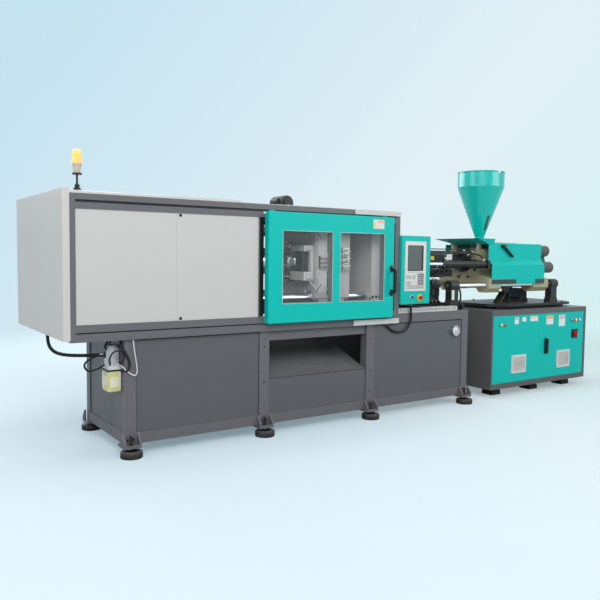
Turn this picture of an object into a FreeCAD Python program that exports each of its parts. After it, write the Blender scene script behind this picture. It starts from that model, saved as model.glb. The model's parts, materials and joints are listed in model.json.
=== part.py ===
import FreeCAD, Part
import math
import os
from types import SimpleNamespace
import Sketcher

# Injection moulding machine: clamp end at the left, injection end at the right.
# While it is drawn, X runs along the machine from the guard's left edge, Y runs away
# from the operator from the guard's front plane, and Z is up from the floor (mm).
# Every node is then placed so that the origin is the middle of the machine on the floor.

SIZES = {
    # bed
    "bed_left": 368, "bed_length": 3419, "bed_front": 24, "bed_depth": 871, "bed_bottom": 85,
    "bed_top": 822, "post_width": 82, "post_depth": 80, "post_two_reach": 1076,
    "post_three_reach": 2152, "inner_post_width": 89, "low_beam_height": 75,
    "low_beam_depth": 60, "high_beam_height": 80, "high_beam_depth": 120,
    "high_beam_inset": 18, "deck_height": 83, "bed_sheet": 12, "bed_sheet_top_inset": 12,
    "sheet_slit": 5, "end_sheet_inset": 8, "chute_sill_reach": 353, "chute_back_inset": 122,
    "chute_sheet": 5, "chute_beam_front_reach": 266, "chute_beam_depth": 40,
    "chute_beam_low_inset": 92, "chute_beam_height": 52,
    # levelling feet of the bed
    "foot_radius": 68, "foot_height": 45, "foot_out": 18, "foot_plate": 20,
    "foot_plate_half": 62, "foot_plate_out": 50, "gusset": 14, "gusset_height": 80,
    "stud_radius": 10, "stud_top_reach": 65, "nut_height": 16, "nut_radius": 16,
    # guard over the clamp
    "guard_right": 2861, "guard_back": 1369, "guard_tube": 50, "left_band": 38, "low_beam": 54,
    "low_rail_top_reach": 115, "low_slot": 10, "high_rail_low_inset": 99,
    "high_rail_top_inset": 58, "track_slot": 18, "slot_depth": 34, "door_gate_left_inset": 53,
    "door_gate_band": 7, "right_post": 55, "guard_sheet": 3, "guard_sheet_inset": 6,
    "guard_sheet_split": 744, "sheet_gap": 1, "top_cover_right": 1265, "top_cover_height": 20,
    "top_sheet": 4, "end_cover_width": 45, "end_cover_low_reach": 12,
    "end_cover_top_reach": 28, "end_cover_round": 18, "cap_left_inset": 515,
    "cap_right_inset": 6, "cap_out": 14, "cap_high_inset": 38, "cap_low_reach": 2,
    "cap_height": 40, "cap_low_height": 44, "back_sheet_room": 36,
    # safety doors
    "door_left": 1471, "door_width": 1271, "door_low_inset": 51, "door_high_reach": 5,
    "door_depth": 59, "door_gap": 1, "door_skin": 4, "door_round": 6, "window_left_reach": 126,
    "window_mid_left_reach": 606, "window_mid_right_reach": 686, "window_right_inset": 113,
    "window_low_reach": 149, "window_high_inset": 144, "window_frame": 22, "pane": 6,
    "pane_inset": 10, "hanger_width": 46, "hanger_sheet": 5, "roller_radius": 8,
    "roller_width": 18, "roller_pin": 3, "hanger_inset": 40, "grip_x_inset": 39,
    "grip_width": 24, "grip_low_reach": 56, "grip_height": 223, "grip_reach": 60,
    "grip_bar": 22, "grip_foot": 34,
    # clamp
    "platen_side_room": 27, "platen_head_room": 20, "axis_z": 1360, "platen_half": 370,
    "platen_foot_half": 50, "platen_foot_inset": 60, "platen_corner": 70,
    "fixed_left_inset": 261, "fixed_depth": 250, "fixed_foot": 180, "moving_depth": 360,
    "daylight": 240, "moving_web": 100, "moving_pocket": 150, "side_slot_left_reach": 145,
    "side_slot_width": 97, "side_slot_low_inset": 85, "side_slot_high_reach": 65,
    "shoe_gap": 0.3, "way_left_inset": 620, "way_right_inset": 10, "way_height": 10,
    "way_half": 35, "running": 0.05, "tie_radius": 37.5, "tie_edge": 75, "tie_left_inset": 100,
    "tie_right_reach": 110, "tie_nut_radius": 62, "tie_nut": 84, "tap_spacing": 420,
    "tap_radius": 7, "tap_depth": 40, "ring_radius": 62.5, "ring_depth": 25,
    "sprue_radius": 55, "cone_radius": 125, "tail_left": 860, "tail_depth": 250,
    "cylinder_left_inset": 620, "cylinder_radius": 200, "bore_radius": 130, "cylinder_end": 40,
    "gland_width": 40, "ram_gland_radius": 165, "ram_radius": 110, "piston_left_inset": 80,
    "piston_width": 60, "ram_flange_radius": 172, "ram_flange": 60, "flange_bolt_circle": 160,
    "flange_bolt_radius": 8, "flange_bolt_head": 12, "ejector_cylinder_radius": 48,
    "ejector_cylinder_length": 120, "ejector_rod_radius": 18, "ejector_plate": 20,
    "ejector_plate_radius": 55, "manifold_left_inset": 92, "manifold_width": 70,
    "manifold_low_inset": 70, "manifold_height": 190, "manifold_depth": 26, "nipple_radius": 7,
    "nipple_length": 26, "nipple_pitch": 30,
    # operator panel
    "panel_width": 354, "panel_front": -25, "panel_depth": 110, "panel_low": 990,
    "panel_height": 607, "panel_round": 8, "bezel_left_reach": 38, "bezel_right_inset": 61,
    "bezel_low_reach": 114, "bezel_high_inset": 47, "bezel_out": 6, "screen_left_reach": 32,
    "screen_right_inset": 35, "screen_low_reach": 182, "screen_high_inset": 38,
    "screen_inset": 3, "key_width": 15, "key_height": 10, "key_pitch_x": 19.5,
    "key_pitch_z": 17.5, "key_low_reach": 24, "key_left_reach": 17, "key_out": 2.5,
    "selector_x_reach": 125, "selector_z_reach": 62, "selector_radius": 14,
    "stop_x_reach": 227, "stop_z_reach": 54, "stop_radius": 20, "stop_ring_radius": 31,
    # signal lamp
    "lamp_x": 80, "lamp_y": 100, "lamp_base_radius": 34, "lamp_base": 22, "lamp_ball": 17,
    "lamp_pole_radius": 7, "lamp_low_reach": 138, "lamp_height": 158, "lamp_radius": 30,
    "lamp_cap": 12,
    # hydraulic motor on the guard roof
    "roof_motor_left": 1812, "roof_motor_width": 145, "roof_motor_front": 330,
    "roof_motor_depth": 180, "roof_motor_radius": 62, "roof_plate": 14,
    "roof_axis_z_reach": 50,
    # cable and conduit
    "cable_x_reach": 159, "cable_y_reach": 37, "cable_radius": 10,
    "gland_length": 15, "gland_radius": 11.5, "conduit_x": 25, "conduit_y": 700,
    "conduit_radius": 12.5, "conduit_gland": 15,
    # lubrication unit on the bed's left end
    "lube_plate": 6, "lube_plate_low_inset": 372, "lube_plate_height": 325,
    "lube_plate_front": 64, "lube_plate_width": 162, "lube_tank_width": 92,
    "lube_tank_front_reach": 6, "lube_tank_depth": 135, "lube_tank_low_reach": 10,
    "lube_tank_height": 146, "lube_round": 14, "lube_head_height": 34, "lube_motor_radius": 46,
    "lube_motor_height": 125,
    # pressure gauge
    "gauge_x_inset": 186, "gauge_z_inset": 108, "gauge_radius": 50, "gauge_depth": 34,
    # wiring duct
    "duct_left_reach": 24, "duct_right_inset": 147, "duct_front_reach": 6, "duct_width": 66,
    "duct_height": 38, "duct_wall": 3, "duct_pitch": 25, "duct_slot": 9,
    # cabinet under the injection unit
    "cabinet_gap": 327, "cabinet_length": 1572, "cabinet_back": 1000, "cabinet_bottom": 85,
    "base_pad": 25, "cabinet_wall": 4, "cabinet_lip": 12, "leaf_left_reach": 21,
    "leaf_right_inset": 36, "leaf_low_reach": 54, "leaf_high_inset": 52,
    "leaf_split_reach": 739, "leaf_gap": 2, "leaf_depth": 20, "leaf_skin": 3, "leaf_round": 8,
    "hinge_inset": 10, "hinge_pin": 5, "hinge_pin_length": 15, "latch_x_reach": 96,
    "latch_low_reach": 264, "latch_height": 156, "latch_width": 26, "latch_base": 8,
    "latch_out": 30, "switch_left_inset": 220, "switch_width": 100, "switch_low_reach": 135,
    "switch_height": 94, "switch_plate": 9, "switch_knob": 30, "pilot_radius": 12,
    "pilot_ring": 16, "pilot_out": 14, "pilot_left_one_reach": 105,
    "pilot_left_two_reach": 177, "pilot_right_one_inset": 227, "pilot_right_two_inset": 161,
    "pilot_right_three_inset": 97, "pilot_z_inset": 90, "louvre_left_one_reach": 286,
    "louvre_left_two_reach": 296, "louvre_width": 220, "louvre_low_reach": 92,
    "louvre_height": 185, "louvre_frame": 14, "louvre_out": 14, "louvre_pitch": 19,
    "wedge_half": 66, "wedge_front_y": 175, "wedge_back_y_inset": 175, "wedge_one_reach": 222,
    "wedge_two_reach": 826, "wedge_three_reach": 1386, "board_left_reach": 106,
    "board_width": 580, "board_low_reach": 51, "board_high_inset": 48, "board_sheet": 5,
    "row_height": 80, "row_depth": 90, "row_gap": 110, "tank_left_reach": 26,
    "tank_right_inset": 50, "tank_front": 320, "tank_top_reach": 281, "pump_radius": 120,
    "pump_length": 380,
    # injection base, stands and guide rods
    "base_left_reach": 186, "base_right_reach": 1536, "base_front_out": 60,
    "base_back_out": 61, "rail_left_reach": 24, "rail_half": 50, "rail_height": 25,
    "rod_radius": 26, "rod_out": 2, "rod_z_reach": 205, "stand_two_reach": 1076,
    "stand_width": 110, "stand_boss": 52, "stand_leg": 78, "stand_foot": 25,
    "pedestal_left_reach": 816, "pedestal_width": 150, "pedestal_top_reach": 148,
    "pedestal_y_inset": 47,
    # injection carriage
    "housing_left_reach": 56, "housing_length": 290, "housing_low_inset": 78,
    "housing_shoulder_reach": 65, "housing_neck_reach": 105, "housing_top_reach": 140,
    "housing_half": 198, "barrel_left_reach": 150, "barrel_radius": 55, "screw_radius": 22.5,
    "nozzle_tip_reach": 30, "nozzle_radius": 32, "tip_radius": 12, "band_radius": 68,
    "band_gap": 40, "band_count": 6, "hood_left_reach": 480, "hood_half": 105, "hood_top": 112,
    "hood_low": 60, "hood_sheet": 3, "seat_out": 22, "seat_z_inset": 15,
    "seat_head_left_inset": 630, "seat_head_width": 60, "seat_head_radius": 38,
    "seat_radius": 29, "seat_bore": 23, "seat_rod": 16, "seat_piston_left_reach": 80,
    "seat_piston": 25, "seat_bar": 30, "seat_bar_half": 38, "cover_left_reach": 37,
    "cover_length": 843, "cover_low_reach": 5, "cover_belt_inset": 20, "cover_slant_reach": 30,
    "cover_top_reach": 200, "cover_out": 50, "cover_slope": 50, "cover_sheet": 3,
    "housing_play": 0.3, "cover_notch_reach": 74, "notch_low_inset": 15,
    "tray_left_inset": 178, "tray_high_reach": 43, "tray_flare": 21, "tray_sheet": 3,
    "bracket_width": 34, "bracket_spread": 160, "lever_x_reach": 11, "lever_z_inset": 30,
    "lever_run": 144, "lever_drop": 105, "lever_radius": 14, "lever_stem": 22,
    "hopper_x_reach": 230, "throat_half": 60, "throat_radius": 40, "throat_top_reach": 15,
    "hopper_neck": 46, "hopper_cone_low_reach": 43, "hopper_cone_height": 527,
    "hopper_rim_height": 155, "hopper_radius": 240, "hopper_sheet": 3, "hopper_flange": 78,
    "hopper_flange_height": 12, "lid_sheet": 4, "lid_hinge_out": 14, "lid_hinge_radius": 6,
    "lid_hinge_half": 30, "shot_spread": 150, "shot_radius": 52, "shot_length": 40,
    "shot_rod": 24, "shot_stroke": 250, "rear_left_reach": 720, "rear_length": 260,
    "rear_low_inset": 78, "rear_shoulder_reach": 55, "rear_neck_reach": 95,
    "rear_top_reach": 130, "rear_half": 153, "rear_wide_inset": 20, "motor_length": 240,
    "motor_core": 105, "lobe_reach": 162, "lobe_radius": 62, "motor_cap": 70,
    "motor_cap_length": 40,
    # beams, bevels and bars of the injection end
    "stand_flare": 12, "end_beam": 30, "end_beam_height": 53, "base_corner": 150,
    "base_pad_inset": 110, "housing_foot": 180, "foot_bevel": 45, "tray_low_back_reach": 153,
    "tray_high_back_reach": 293, "gate_height": 8, "gate_width": 60, "guide_bar_radius": 5,
    "motor_neck": 90, "end_beam_front_reach": 53, "end_beam_back_inset": 46,
    "gate_left_inset": 70, "gate_right_reach": 160, "guide_bar_left_reach": 270,
    "guide_bar_y_inset": 147, "foot_arch_half": 215, "foot_arch_drop": 35,
    "fixed_foot_shift": 10, "lube_head_lip": 2,
}

doc = FreeCAD.newDocument("InjectionMouldingMachine")
sheet = doc.addObject("Spreadsheet::Sheet", "Sizes")


class Size:
    """A length that carries the sheet expression it comes from."""

    def __init__(self, value, text):
        self.value = float(value)
        self.text = text

    def __add__(self, other):
        other = as_size(other)
        return Size(self.value + other.value, f"({self.text} + {other.text})")

    def __sub__(self, other):
        other = as_size(other)
        return Size(self.value - other.value, f"({self.text} - {other.text})")

    def __mul__(self, factor):
        return Size(self.value * factor, f"({self.text} * {factor:.9g})")

    def __truediv__(self, divisor):
        return Size(self.value / divisor, f"({self.text} / {divisor:.9g})")

    def __neg__(self):
        return Size(-self.value, f"(0 - {self.text})")

    def __radd__(self, other):
        return as_size(other) + self

    def __rsub__(self, other):
        return as_size(other) - self

    def __rmul__(self, factor):
        return self * factor


def as_size(number):
    if isinstance(number, Size):
        return number
    return Size(number, f"({number:.9g})")


def read_sheet():
    named = {}
    for row, (alias, value) in enumerate(SIZES.items(), start=1):
        cell = f"B{row}"
        sheet.set(f"A{row}", alias)
        sheet.set(cell, str(value))
        sheet.setAlias(cell, alias)
        named[alias] = Size(value, f"Sizes.{alias}")
    doc.recompute()
    return SimpleNamespace(**named)


def place_parts():
    """Places that follow from a neighbour and a length or a clearance."""
    s.bed_right = s.bed_left + s.bed_length
    s.bed_back = s.bed_front + s.bed_depth
    s.post_two = s.bed_left + s.post_two_reach
    s.post_three = s.bed_left + s.post_three_reach
    s.rail_deck = s.bed_top + s.deck_height
    s.bed_sheet_top = s.bed_top - s.bed_sheet_top_inset
    s.chute_sill = s.bed_bottom + s.chute_sill_reach
    s.chute_back = s.bed_top - s.chute_back_inset
    s.chute_beam_front = s.bed_front + s.chute_beam_front_reach
    s.chute_beam_low = s.bed_top - s.chute_beam_low_inset
    s.stud_top = s.bed_bottom + s.stud_top_reach
    s.guard_bottom = s.bed_top
    s.axis_y = s.guard_tube + s.platen_side_room + s.platen_half
    s.tie_spread = s.platen_half - s.tie_edge
    s.platen_foot_spread = s.platen_half - s.platen_foot_inset
    s.back_sheet_front = s.axis_y + s.tie_spread + s.tie_nut_radius + s.back_sheet_room
    s.guard_top = s.axis_z + s.platen_half + s.platen_head_room + s.guard_tube
    s.low_rail_top = s.guard_bottom + s.low_rail_top_reach
    s.high_rail_low = s.guard_top - s.high_rail_low_inset
    s.high_rail_top = s.guard_top - s.high_rail_top_inset
    s.end_cover_low = s.guard_bottom + s.end_cover_low_reach
    s.end_cover_top = s.guard_top + s.end_cover_top_reach
    s.cap_high = s.guard_top - s.cap_high_inset
    s.cap_low = s.guard_bottom + s.cap_low_reach
    s.cap_left = s.guard_right - s.cap_left_inset
    s.cap_right = s.guard_right - s.cap_right_inset
    s.door_right = s.door_left + s.door_width
    s.door_gate_left = s.door_left - s.door_gate_left_inset
    s.door_low = s.low_rail_top - s.door_low_inset
    s.door_high = s.high_rail_top + s.door_high_reach
    s.window_left = s.door_left + s.window_left_reach
    s.window_mid_left = s.door_left + s.window_mid_left_reach
    s.window_mid_right = s.door_left + s.window_mid_right_reach
    s.window_right = s.door_right - s.window_right_inset
    s.window_low = s.door_low + s.window_low_reach
    s.window_high = s.door_high - s.window_high_inset
    s.grip_x = s.door_right - s.grip_x_inset
    s.grip_low = s.window_low + s.grip_low_reach
    s.grip_high = s.grip_low + s.grip_height
    s.fixed_left = s.guard_right - s.fixed_left_inset
    s.fixed_right = s.fixed_left + s.fixed_depth
    s.moving_right = s.fixed_left - s.daylight
    s.moving_left = s.moving_right - s.moving_depth
    s.side_slot_left = s.moving_left + s.side_slot_left_reach
    s.side_slot_right = s.side_slot_left + s.side_slot_width
    s.side_slot_low = s.axis_z - s.side_slot_low_inset
    s.side_slot_high = s.axis_z + s.side_slot_high_reach
    s.way_left = s.moving_left - s.way_left_inset
    s.way_right = s.fixed_left - s.way_right_inset
    s.tail_right = s.tail_left + s.tail_depth
    s.tie_left = s.tail_left - s.tie_left_inset
    s.tie_right = s.fixed_right + s.tie_right_reach
    s.cylinder_left = s.tail_left - s.cylinder_left_inset
    s.piston_left = s.tail_left - s.piston_left_inset
    s.manifold_left = s.moving_right - s.manifold_left_inset
    s.manifold_low = s.axis_z - s.manifold_low_inset
    s.panel_right = s.guard_right + s.panel_width
    s.panel_high = s.panel_low + s.panel_height
    s.bezel_left = s.guard_right + s.bezel_left_reach
    s.bezel_right = s.panel_right - s.bezel_right_inset
    s.bezel_low = s.panel_low + s.bezel_low_reach
    s.bezel_high = s.panel_high - s.bezel_high_inset
    s.screen_left = s.bezel_left + s.screen_left_reach
    s.screen_right = s.bezel_right - s.screen_right_inset
    s.screen_low = s.bezel_low + s.screen_low_reach
    s.screen_high = s.bezel_high - s.screen_high_inset
    s.key_low = s.bezel_low + s.key_low_reach
    s.key_left = s.bezel_left + s.key_left_reach
    s.selector_x = s.guard_right + s.selector_x_reach
    s.selector_z = s.panel_low + s.selector_z_reach
    s.stop_x = s.guard_right + s.stop_x_reach
    s.stop_z = s.panel_low + s.stop_z_reach
    s.cable_x = s.guard_right + s.cable_x_reach
    s.cable_y = s.panel_front + s.cable_y_reach
    s.lamp_low = s.guard_top + s.lamp_low_reach
    s.lamp_high = s.lamp_low + s.lamp_height
    s.roof_motor_right = s.roof_motor_left + s.roof_motor_width
    s.roof_axis_z = s.guard_top + s.roof_axis_z_reach
    s.lube_plate_low = s.bed_top - s.lube_plate_low_inset
    s.lube_plate_high = s.lube_plate_low + s.lube_plate_height
    s.lube_tank_low = s.lube_plate_low + s.lube_tank_low_reach
    s.lube_tank_high = s.lube_tank_low + s.lube_tank_height
    s.lube_head_high = s.lube_tank_high + s.lube_head_height
    s.lube_motor_high = s.lube_head_high + s.lube_motor_height
    s.lube_plate_back = s.lube_plate_front + s.lube_plate_width
    s.lube_tank_front = s.lube_plate_front + s.lube_tank_front_reach
    s.lube_tank_back = s.lube_tank_front + s.lube_tank_depth
    s.gauge_x = s.bed_right - s.gauge_x_inset
    s.gauge_z = s.bed_top - s.gauge_z_inset
    s.duct_left = s.guard_right + s.duct_left_reach
    s.duct_right = s.bed_right - s.duct_right_inset
    s.duct_front = s.bed_front + s.duct_front_reach
    s.cabinet_left = s.bed_right + s.cabinet_gap
    s.cabinet_right = s.cabinet_left + s.cabinet_length
    s.cabinet_top = s.rail_deck - s.base_pad
    s.leaf_left = s.cabinet_left + s.leaf_left_reach
    s.leaf_right = s.cabinet_right - s.leaf_right_inset
    s.leaf_low = s.cabinet_bottom + s.leaf_low_reach
    s.leaf_high = s.cabinet_top - s.leaf_high_inset
    s.leaf_split = s.leaf_left + s.leaf_split_reach
    s.latch_x = s.leaf_split + s.latch_x_reach
    s.latch_low = s.leaf_low + s.latch_low_reach
    s.latch_high = s.latch_low + s.latch_height
    s.switch_left = s.leaf_right - s.switch_left_inset
    s.switch_low = s.latch_low + s.switch_low_reach
    s.pilot_left_one = s.leaf_left + s.pilot_left_one_reach
    s.pilot_left_two = s.leaf_left + s.pilot_left_two_reach
    s.pilot_right_one = s.leaf_right - s.pilot_right_one_inset
    s.pilot_right_two = s.leaf_right - s.pilot_right_two_inset
    s.pilot_right_three = s.leaf_right - s.pilot_right_three_inset
    s.pilot_z = s.leaf_high - s.pilot_z_inset
    s.louvre_left_one = s.leaf_left + s.louvre_left_one_reach
    s.louvre_left_two = s.leaf_split + s.louvre_left_two_reach
    s.louvre_low = s.leaf_low + s.louvre_low_reach
    s.wedge_one = s.cabinet_left + s.wedge_one_reach
    s.wedge_two = s.cabinet_left + s.wedge_two_reach
    s.wedge_three = s.cabinet_left + s.wedge_three_reach
    s.wedge_back_y = s.cabinet_back - s.wedge_back_y_inset
    s.board_left = s.cabinet_left + s.board_left_reach
    s.board_right = s.board_left + s.board_width
    s.board_low = s.leaf_low + s.board_low_reach
    s.board_high = s.leaf_high - s.board_high_inset
    s.tank_left = s.leaf_split + s.tank_left_reach
    s.tank_right = s.leaf_right - s.tank_right_inset
    s.tank_top = s.leaf_low + s.tank_top_reach
    s.base_left = s.cabinet_left + s.base_left_reach
    s.base_right = s.cabinet_left + s.base_right_reach
    s.rod_spread = s.tie_spread + s.rod_out
    s.base_front = s.axis_y - s.rod_spread - s.base_front_out
    s.base_back = s.axis_y + s.rod_spread + s.base_back_out
    s.rail_left = s.guard_right + s.rail_left_reach
    s.rail_top = s.rail_deck + s.rail_height
    s.end_beam_front = s.bed_front + s.end_beam_front_reach
    s.end_beam_back = s.bed_back - s.end_beam_back_inset
    s.stand_one = s.bed_right - s.end_beam - s.stand_flare - s.stand_width
    s.stand_two = s.cabinet_left + s.stand_two_reach
    s.pedestal_left = s.cabinet_left + s.pedestal_left_reach
    s.pedestal_top = s.rail_top + s.pedestal_top_reach
    s.pedestal_y = s.axis_y - s.pedestal_y_inset
    s.rod_z = s.rail_top + s.rod_z_reach
    s.housing_left = s.cabinet_left + s.housing_left_reach
    s.housing_right = s.housing_left + s.housing_length
    s.housing_low = s.rod_z - s.housing_low_inset
    s.housing_shoulder = s.rod_z + s.housing_shoulder_reach
    s.housing_neck = s.rod_z + s.housing_neck_reach
    s.housing_top = s.axis_z + s.housing_top_reach
    s.barrel_left = s.fixed_right + s.barrel_left_reach
    heated = s.housing_left - s.seat_bar - s.barrel_left
    s.band_width = heated / SIZES["band_count"] - s.band_gap
    s.nozzle_tip = s.fixed_right + s.nozzle_tip_reach
    s.hood_left = s.fixed_right + s.hood_left_reach
    s.seat_z = s.axis_z - s.seat_z_inset
    s.seat_spread = s.tie_spread + s.seat_out
    s.seat_head_left = s.housing_left - s.seat_head_left_inset
    s.seat_piston_left = s.seat_head_left + s.seat_piston_left_reach
    s.cover_left = s.housing_left + s.cover_left_reach
    s.cover_right = s.cover_left + s.cover_length
    s.cover_half = s.rod_spread + s.cover_out
    s.cover_upper_half = s.cover_half - s.cover_slope
    s.cover_low = s.rod_z + s.cover_low_reach
    s.cover_belt = s.axis_z - s.cover_belt_inset
    s.cover_slant = s.axis_z + s.cover_slant_reach
    s.cover_top = s.axis_z + s.cover_top_reach
    s.cover_notch = s.cover_left + s.cover_notch_reach
    s.notch_low = s.cover_top - s.notch_low_inset
    s.tray_left = s.cover_left - s.tray_left_inset
    s.tray_bottom_left = s.cover_left
    s.tray_half = s.cover_upper_half + s.tray_flare
    s.tray_low_back = s.axis_y + s.tray_low_back_reach
    s.tray_high_back = s.axis_y + s.tray_high_back_reach
    s.tray_high = s.cover_top + s.tray_high_reach
    s.hopper_x = s.housing_left + s.hopper_x_reach
    s.lever_x = s.hopper_x + s.lever_x_reach
    s.lever_z = s.cover_top - s.lever_z_inset
    s.gate_left = s.hopper_x - s.gate_left_inset
    s.gate_right = s.hopper_x + s.gate_right_reach
    s.throat_top = s.cover_top + s.throat_top_reach
    s.hopper_cone_low = s.throat_top + s.hopper_cone_low_reach
    s.hopper_cone_high = s.hopper_cone_low + s.hopper_cone_height
    s.hopper_top = s.hopper_cone_high + s.hopper_rim_height
    s.rear_left = s.housing_left + s.rear_left_reach
    s.rear_right = s.rear_left + s.rear_length
    s.rear_wide = s.cover_half - s.rear_wide_inset
    s.rear_low = s.rod_z - s.rear_low_inset
    s.rear_shoulder = s.rod_z + s.rear_shoulder_reach
    s.rear_neck = s.rod_z + s.rear_neck_reach
    s.rear_top = s.axis_z + s.rear_top_reach
    s.guide_bar_left = s.fixed_right + s.guide_bar_left_reach
    s.guide_bar_y = s.axis_y - s.guide_bar_y_inset


s = read_sheet()
place_parts()
NODES = []


# ---------------------------------------------------------------- drawing helpers

def bind(thing, prop, size):
    """Give one property its size and the expression that keeps it."""
    size = as_size(size)
    thing.setExpression(prop, size.text)
    return size.value


def put(thing, x, y, z, rotation=FreeCAD.Rotation()):
    thing.Placement = FreeCAD.Placement(FreeCAD.Vector(), rotation)
    for axis, size in zip("xyz", (x, y, z)):
        bind(thing, f".Placement.Base.{axis}", size)


def block(name, x, y, z):
    """A box between two sizes on each axis."""
    box = doc.addObject("Part::Box", name)
    for prop, (low, high) in zip(("Length", "Width", "Height"), (x, y, z)):
        size = as_size(high) - low
        setattr(box, prop, size.value)
        bind(box, prop, size)
    put(box, x[0], y[0], z[0])
    return box


TURNS = {
    "X": FreeCAD.Rotation(FreeCAD.Vector(0, 1, 0), 90),
    "Y": FreeCAD.Rotation(FreeCAD.Vector(1, 0, 0), -90),
    "Z": FreeCAD.Rotation(),
}


def rod(name, axis, start, radius, length):
    """A round bar from start along +X, +Y or +Z."""
    bar = doc.addObject("Part::Cylinder", name)
    bar.Radius = as_size(radius).value
    bar.Height = as_size(length).value
    bind(bar, "Radius", radius)
    bind(bar, "Height", length)
    put(bar, *start, TURNS[axis])
    return bar


def cone(name, axis, start, radius_one, radius_two, length):
    bar = doc.addObject("Part::Cone", name)
    for prop, size in (("Radius1", radius_one), ("Radius2", radius_two), ("Height", length)):
        setattr(bar, prop, as_size(size).value)
        bind(bar, prop, size)
    put(bar, *start, TURNS[axis])
    return bar


def fuse(name, pieces):
    joined = doc.addObject("Part::MultiFuse", name)
    joined.Shapes = pieces
    joined.Refine = True
    return joined


def cut(name, base, tools):
    tool = tools[0] if len(tools) == 1 else fuse(name + "_tools", tools)
    result = doc.addObject("Part::Cut", name)
    result.Base = base
    result.Tool = tool
    result.Refine = True
    return result


def group(name, pieces):
    """Separate solids that share one node."""
    held = doc.addObject("Part::Compound", name)
    held.Links = pieces
    return held


def new_body(name):
    return doc.addObject("PartDesign::Body", name)


def new_sketch(body, plane, offset):
    """A sketch on one of the body's own origin planes, moved along that plane's normal."""
    sketch = body.newObject("Sketcher::SketchObject", "sketch")
    role = {"XY": "XY_Plane", "XZ": "XZ_Plane", "YZ": "YZ_Plane"}[plane]
    origin_plane = [item for item in body.Origin.OriginFeatures if item.Role == role][0]
    sketch.AttachmentSupport = (origin_plane, [""])
    sketch.MapMode = "FlatFace"
    distance = -as_size(offset) if plane == "XZ" else as_size(offset)
    sketch.AttachmentOffset = FreeCAD.Placement(
        FreeCAD.Vector(0, 0, distance.value), FreeCAD.Rotation())
    bind(sketch, ".AttachmentOffset.Base.z", distance)
    return sketch


def pin_point(sketch, geometry, vertex, point):
    for kind, size in zip(("DistanceX", "DistanceY"), point):
        size = as_size(size)
        number = sketch.addConstraint(
            Sketcher.Constraint(kind, -1, 1, geometry, vertex, size.value))
        bind(sketch, f"Constraints[{number}]", size)


def polygon(sketch, points):
    """A closed outline of straight edges; every corner is tied to the sheet."""
    first = sketch.GeometryCount
    count = len(points)
    spots = [FreeCAD.Vector(as_size(a).value, as_size(b).value, 0) for a, b in points]
    for index in range(count):
        sketch.addGeometry(Part.LineSegment(spots[index], spots[(index + 1) % count]), False)
    for index in range(count):
        sketch.addConstraint(Sketcher.Constraint(
            "Coincident", first + index, 2, first + (index + 1) % count, 1))
    for index, point in enumerate(points):
        pin_point(sketch, first + index, 1, point)


def rectangle(sketch, low, high):
    polygon(sketch, [(low[0], low[1]), (high[0], low[1]), (high[0], high[1]), (low[0], high[1])])


def circle(sketch, centre, radius):
    radius = as_size(radius)
    spot = FreeCAD.Vector(as_size(centre[0]).value, as_size(centre[1]).value, 0)
    number = sketch.addGeometry(
        Part.Circle(spot, FreeCAD.Vector(0, 0, 1), radius.value), False)
    pin_point(sketch, number, 3, centre)
    held = sketch.addConstraint(Sketcher.Constraint("Radius", number, radius.value))
    bind(sketch, f"Constraints[{held}]", radius)


def stadium(sketch, low, high, middle, half):
    """A slot with round ends along the sketch's second axis, centred on middle."""
    first = sketch.GeometryCount
    middle, half, low, high = (as_size(item) for item in (middle, half, low, high))
    bottom, top = low + half, high - half
    up = FreeCAD.Vector(0, 0, 1)
    left_x, right_x = middle - half, middle + half
    sketch.addGeometry(Part.LineSegment(
        FreeCAD.Vector(right_x.value, bottom.value, 0),
        FreeCAD.Vector(right_x.value, top.value, 0)), False)
    sketch.addGeometry(Part.ArcOfCircle(Part.Circle(
        FreeCAD.Vector(middle.value, top.value, 0), up, half.value), 0, math.pi), False)
    sketch.addGeometry(Part.LineSegment(
        FreeCAD.Vector(left_x.value, top.value, 0),
        FreeCAD.Vector(left_x.value, bottom.value, 0)), False)
    sketch.addGeometry(Part.ArcOfCircle(Part.Circle(
        FreeCAD.Vector(middle.value, bottom.value, 0), up, half.value),
        math.pi, 2 * math.pi), False)
    for index in range(4):
        sketch.addConstraint(Sketcher.Constraint(
            "Coincident", first + index, 2, first + (index + 1) % 4, 1))
    pin_point(sketch, first, 1, (right_x, bottom))
    pin_point(sketch, first, 2, (right_x, top))
    pin_point(sketch, first + 2, 1, (left_x, top))
    pin_point(sketch, first + 2, 2, (left_x, bottom))
    for arc, level in ((first + 1, top), (first + 3, bottom)):
        held = sketch.addConstraint(
            Sketcher.Constraint("DistanceY", -1, 1, arc, 3, level.value))
        bind(sketch, f"Constraints[{held}]", level)


def pad(body, plane, low, high, draw):
    """Material between two places along the plane's axis."""
    sketch = new_sketch(body, plane, low)
    draw(sketch)
    feature = body.newObject("PartDesign::Pad", "pad")
    feature.Profile = sketch
    feature.Length = (as_size(high) - low).value
    feature.Reversed = plane == "XZ"
    bind(feature, "Length", as_size(high) - low)
    return feature


def pocket(body, plane, low, high, draw):
    """A hole between two places along the plane's axis."""
    sketch = new_sketch(body, plane, low if plane == "XZ" else high)
    draw(sketch)
    feature = body.newObject("PartDesign::Pocket", "pocket")
    feature.Profile = sketch
    feature.Length = (as_size(high) - low).value
    bind(feature, "Length", as_size(high) - low)
    return feature


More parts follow.
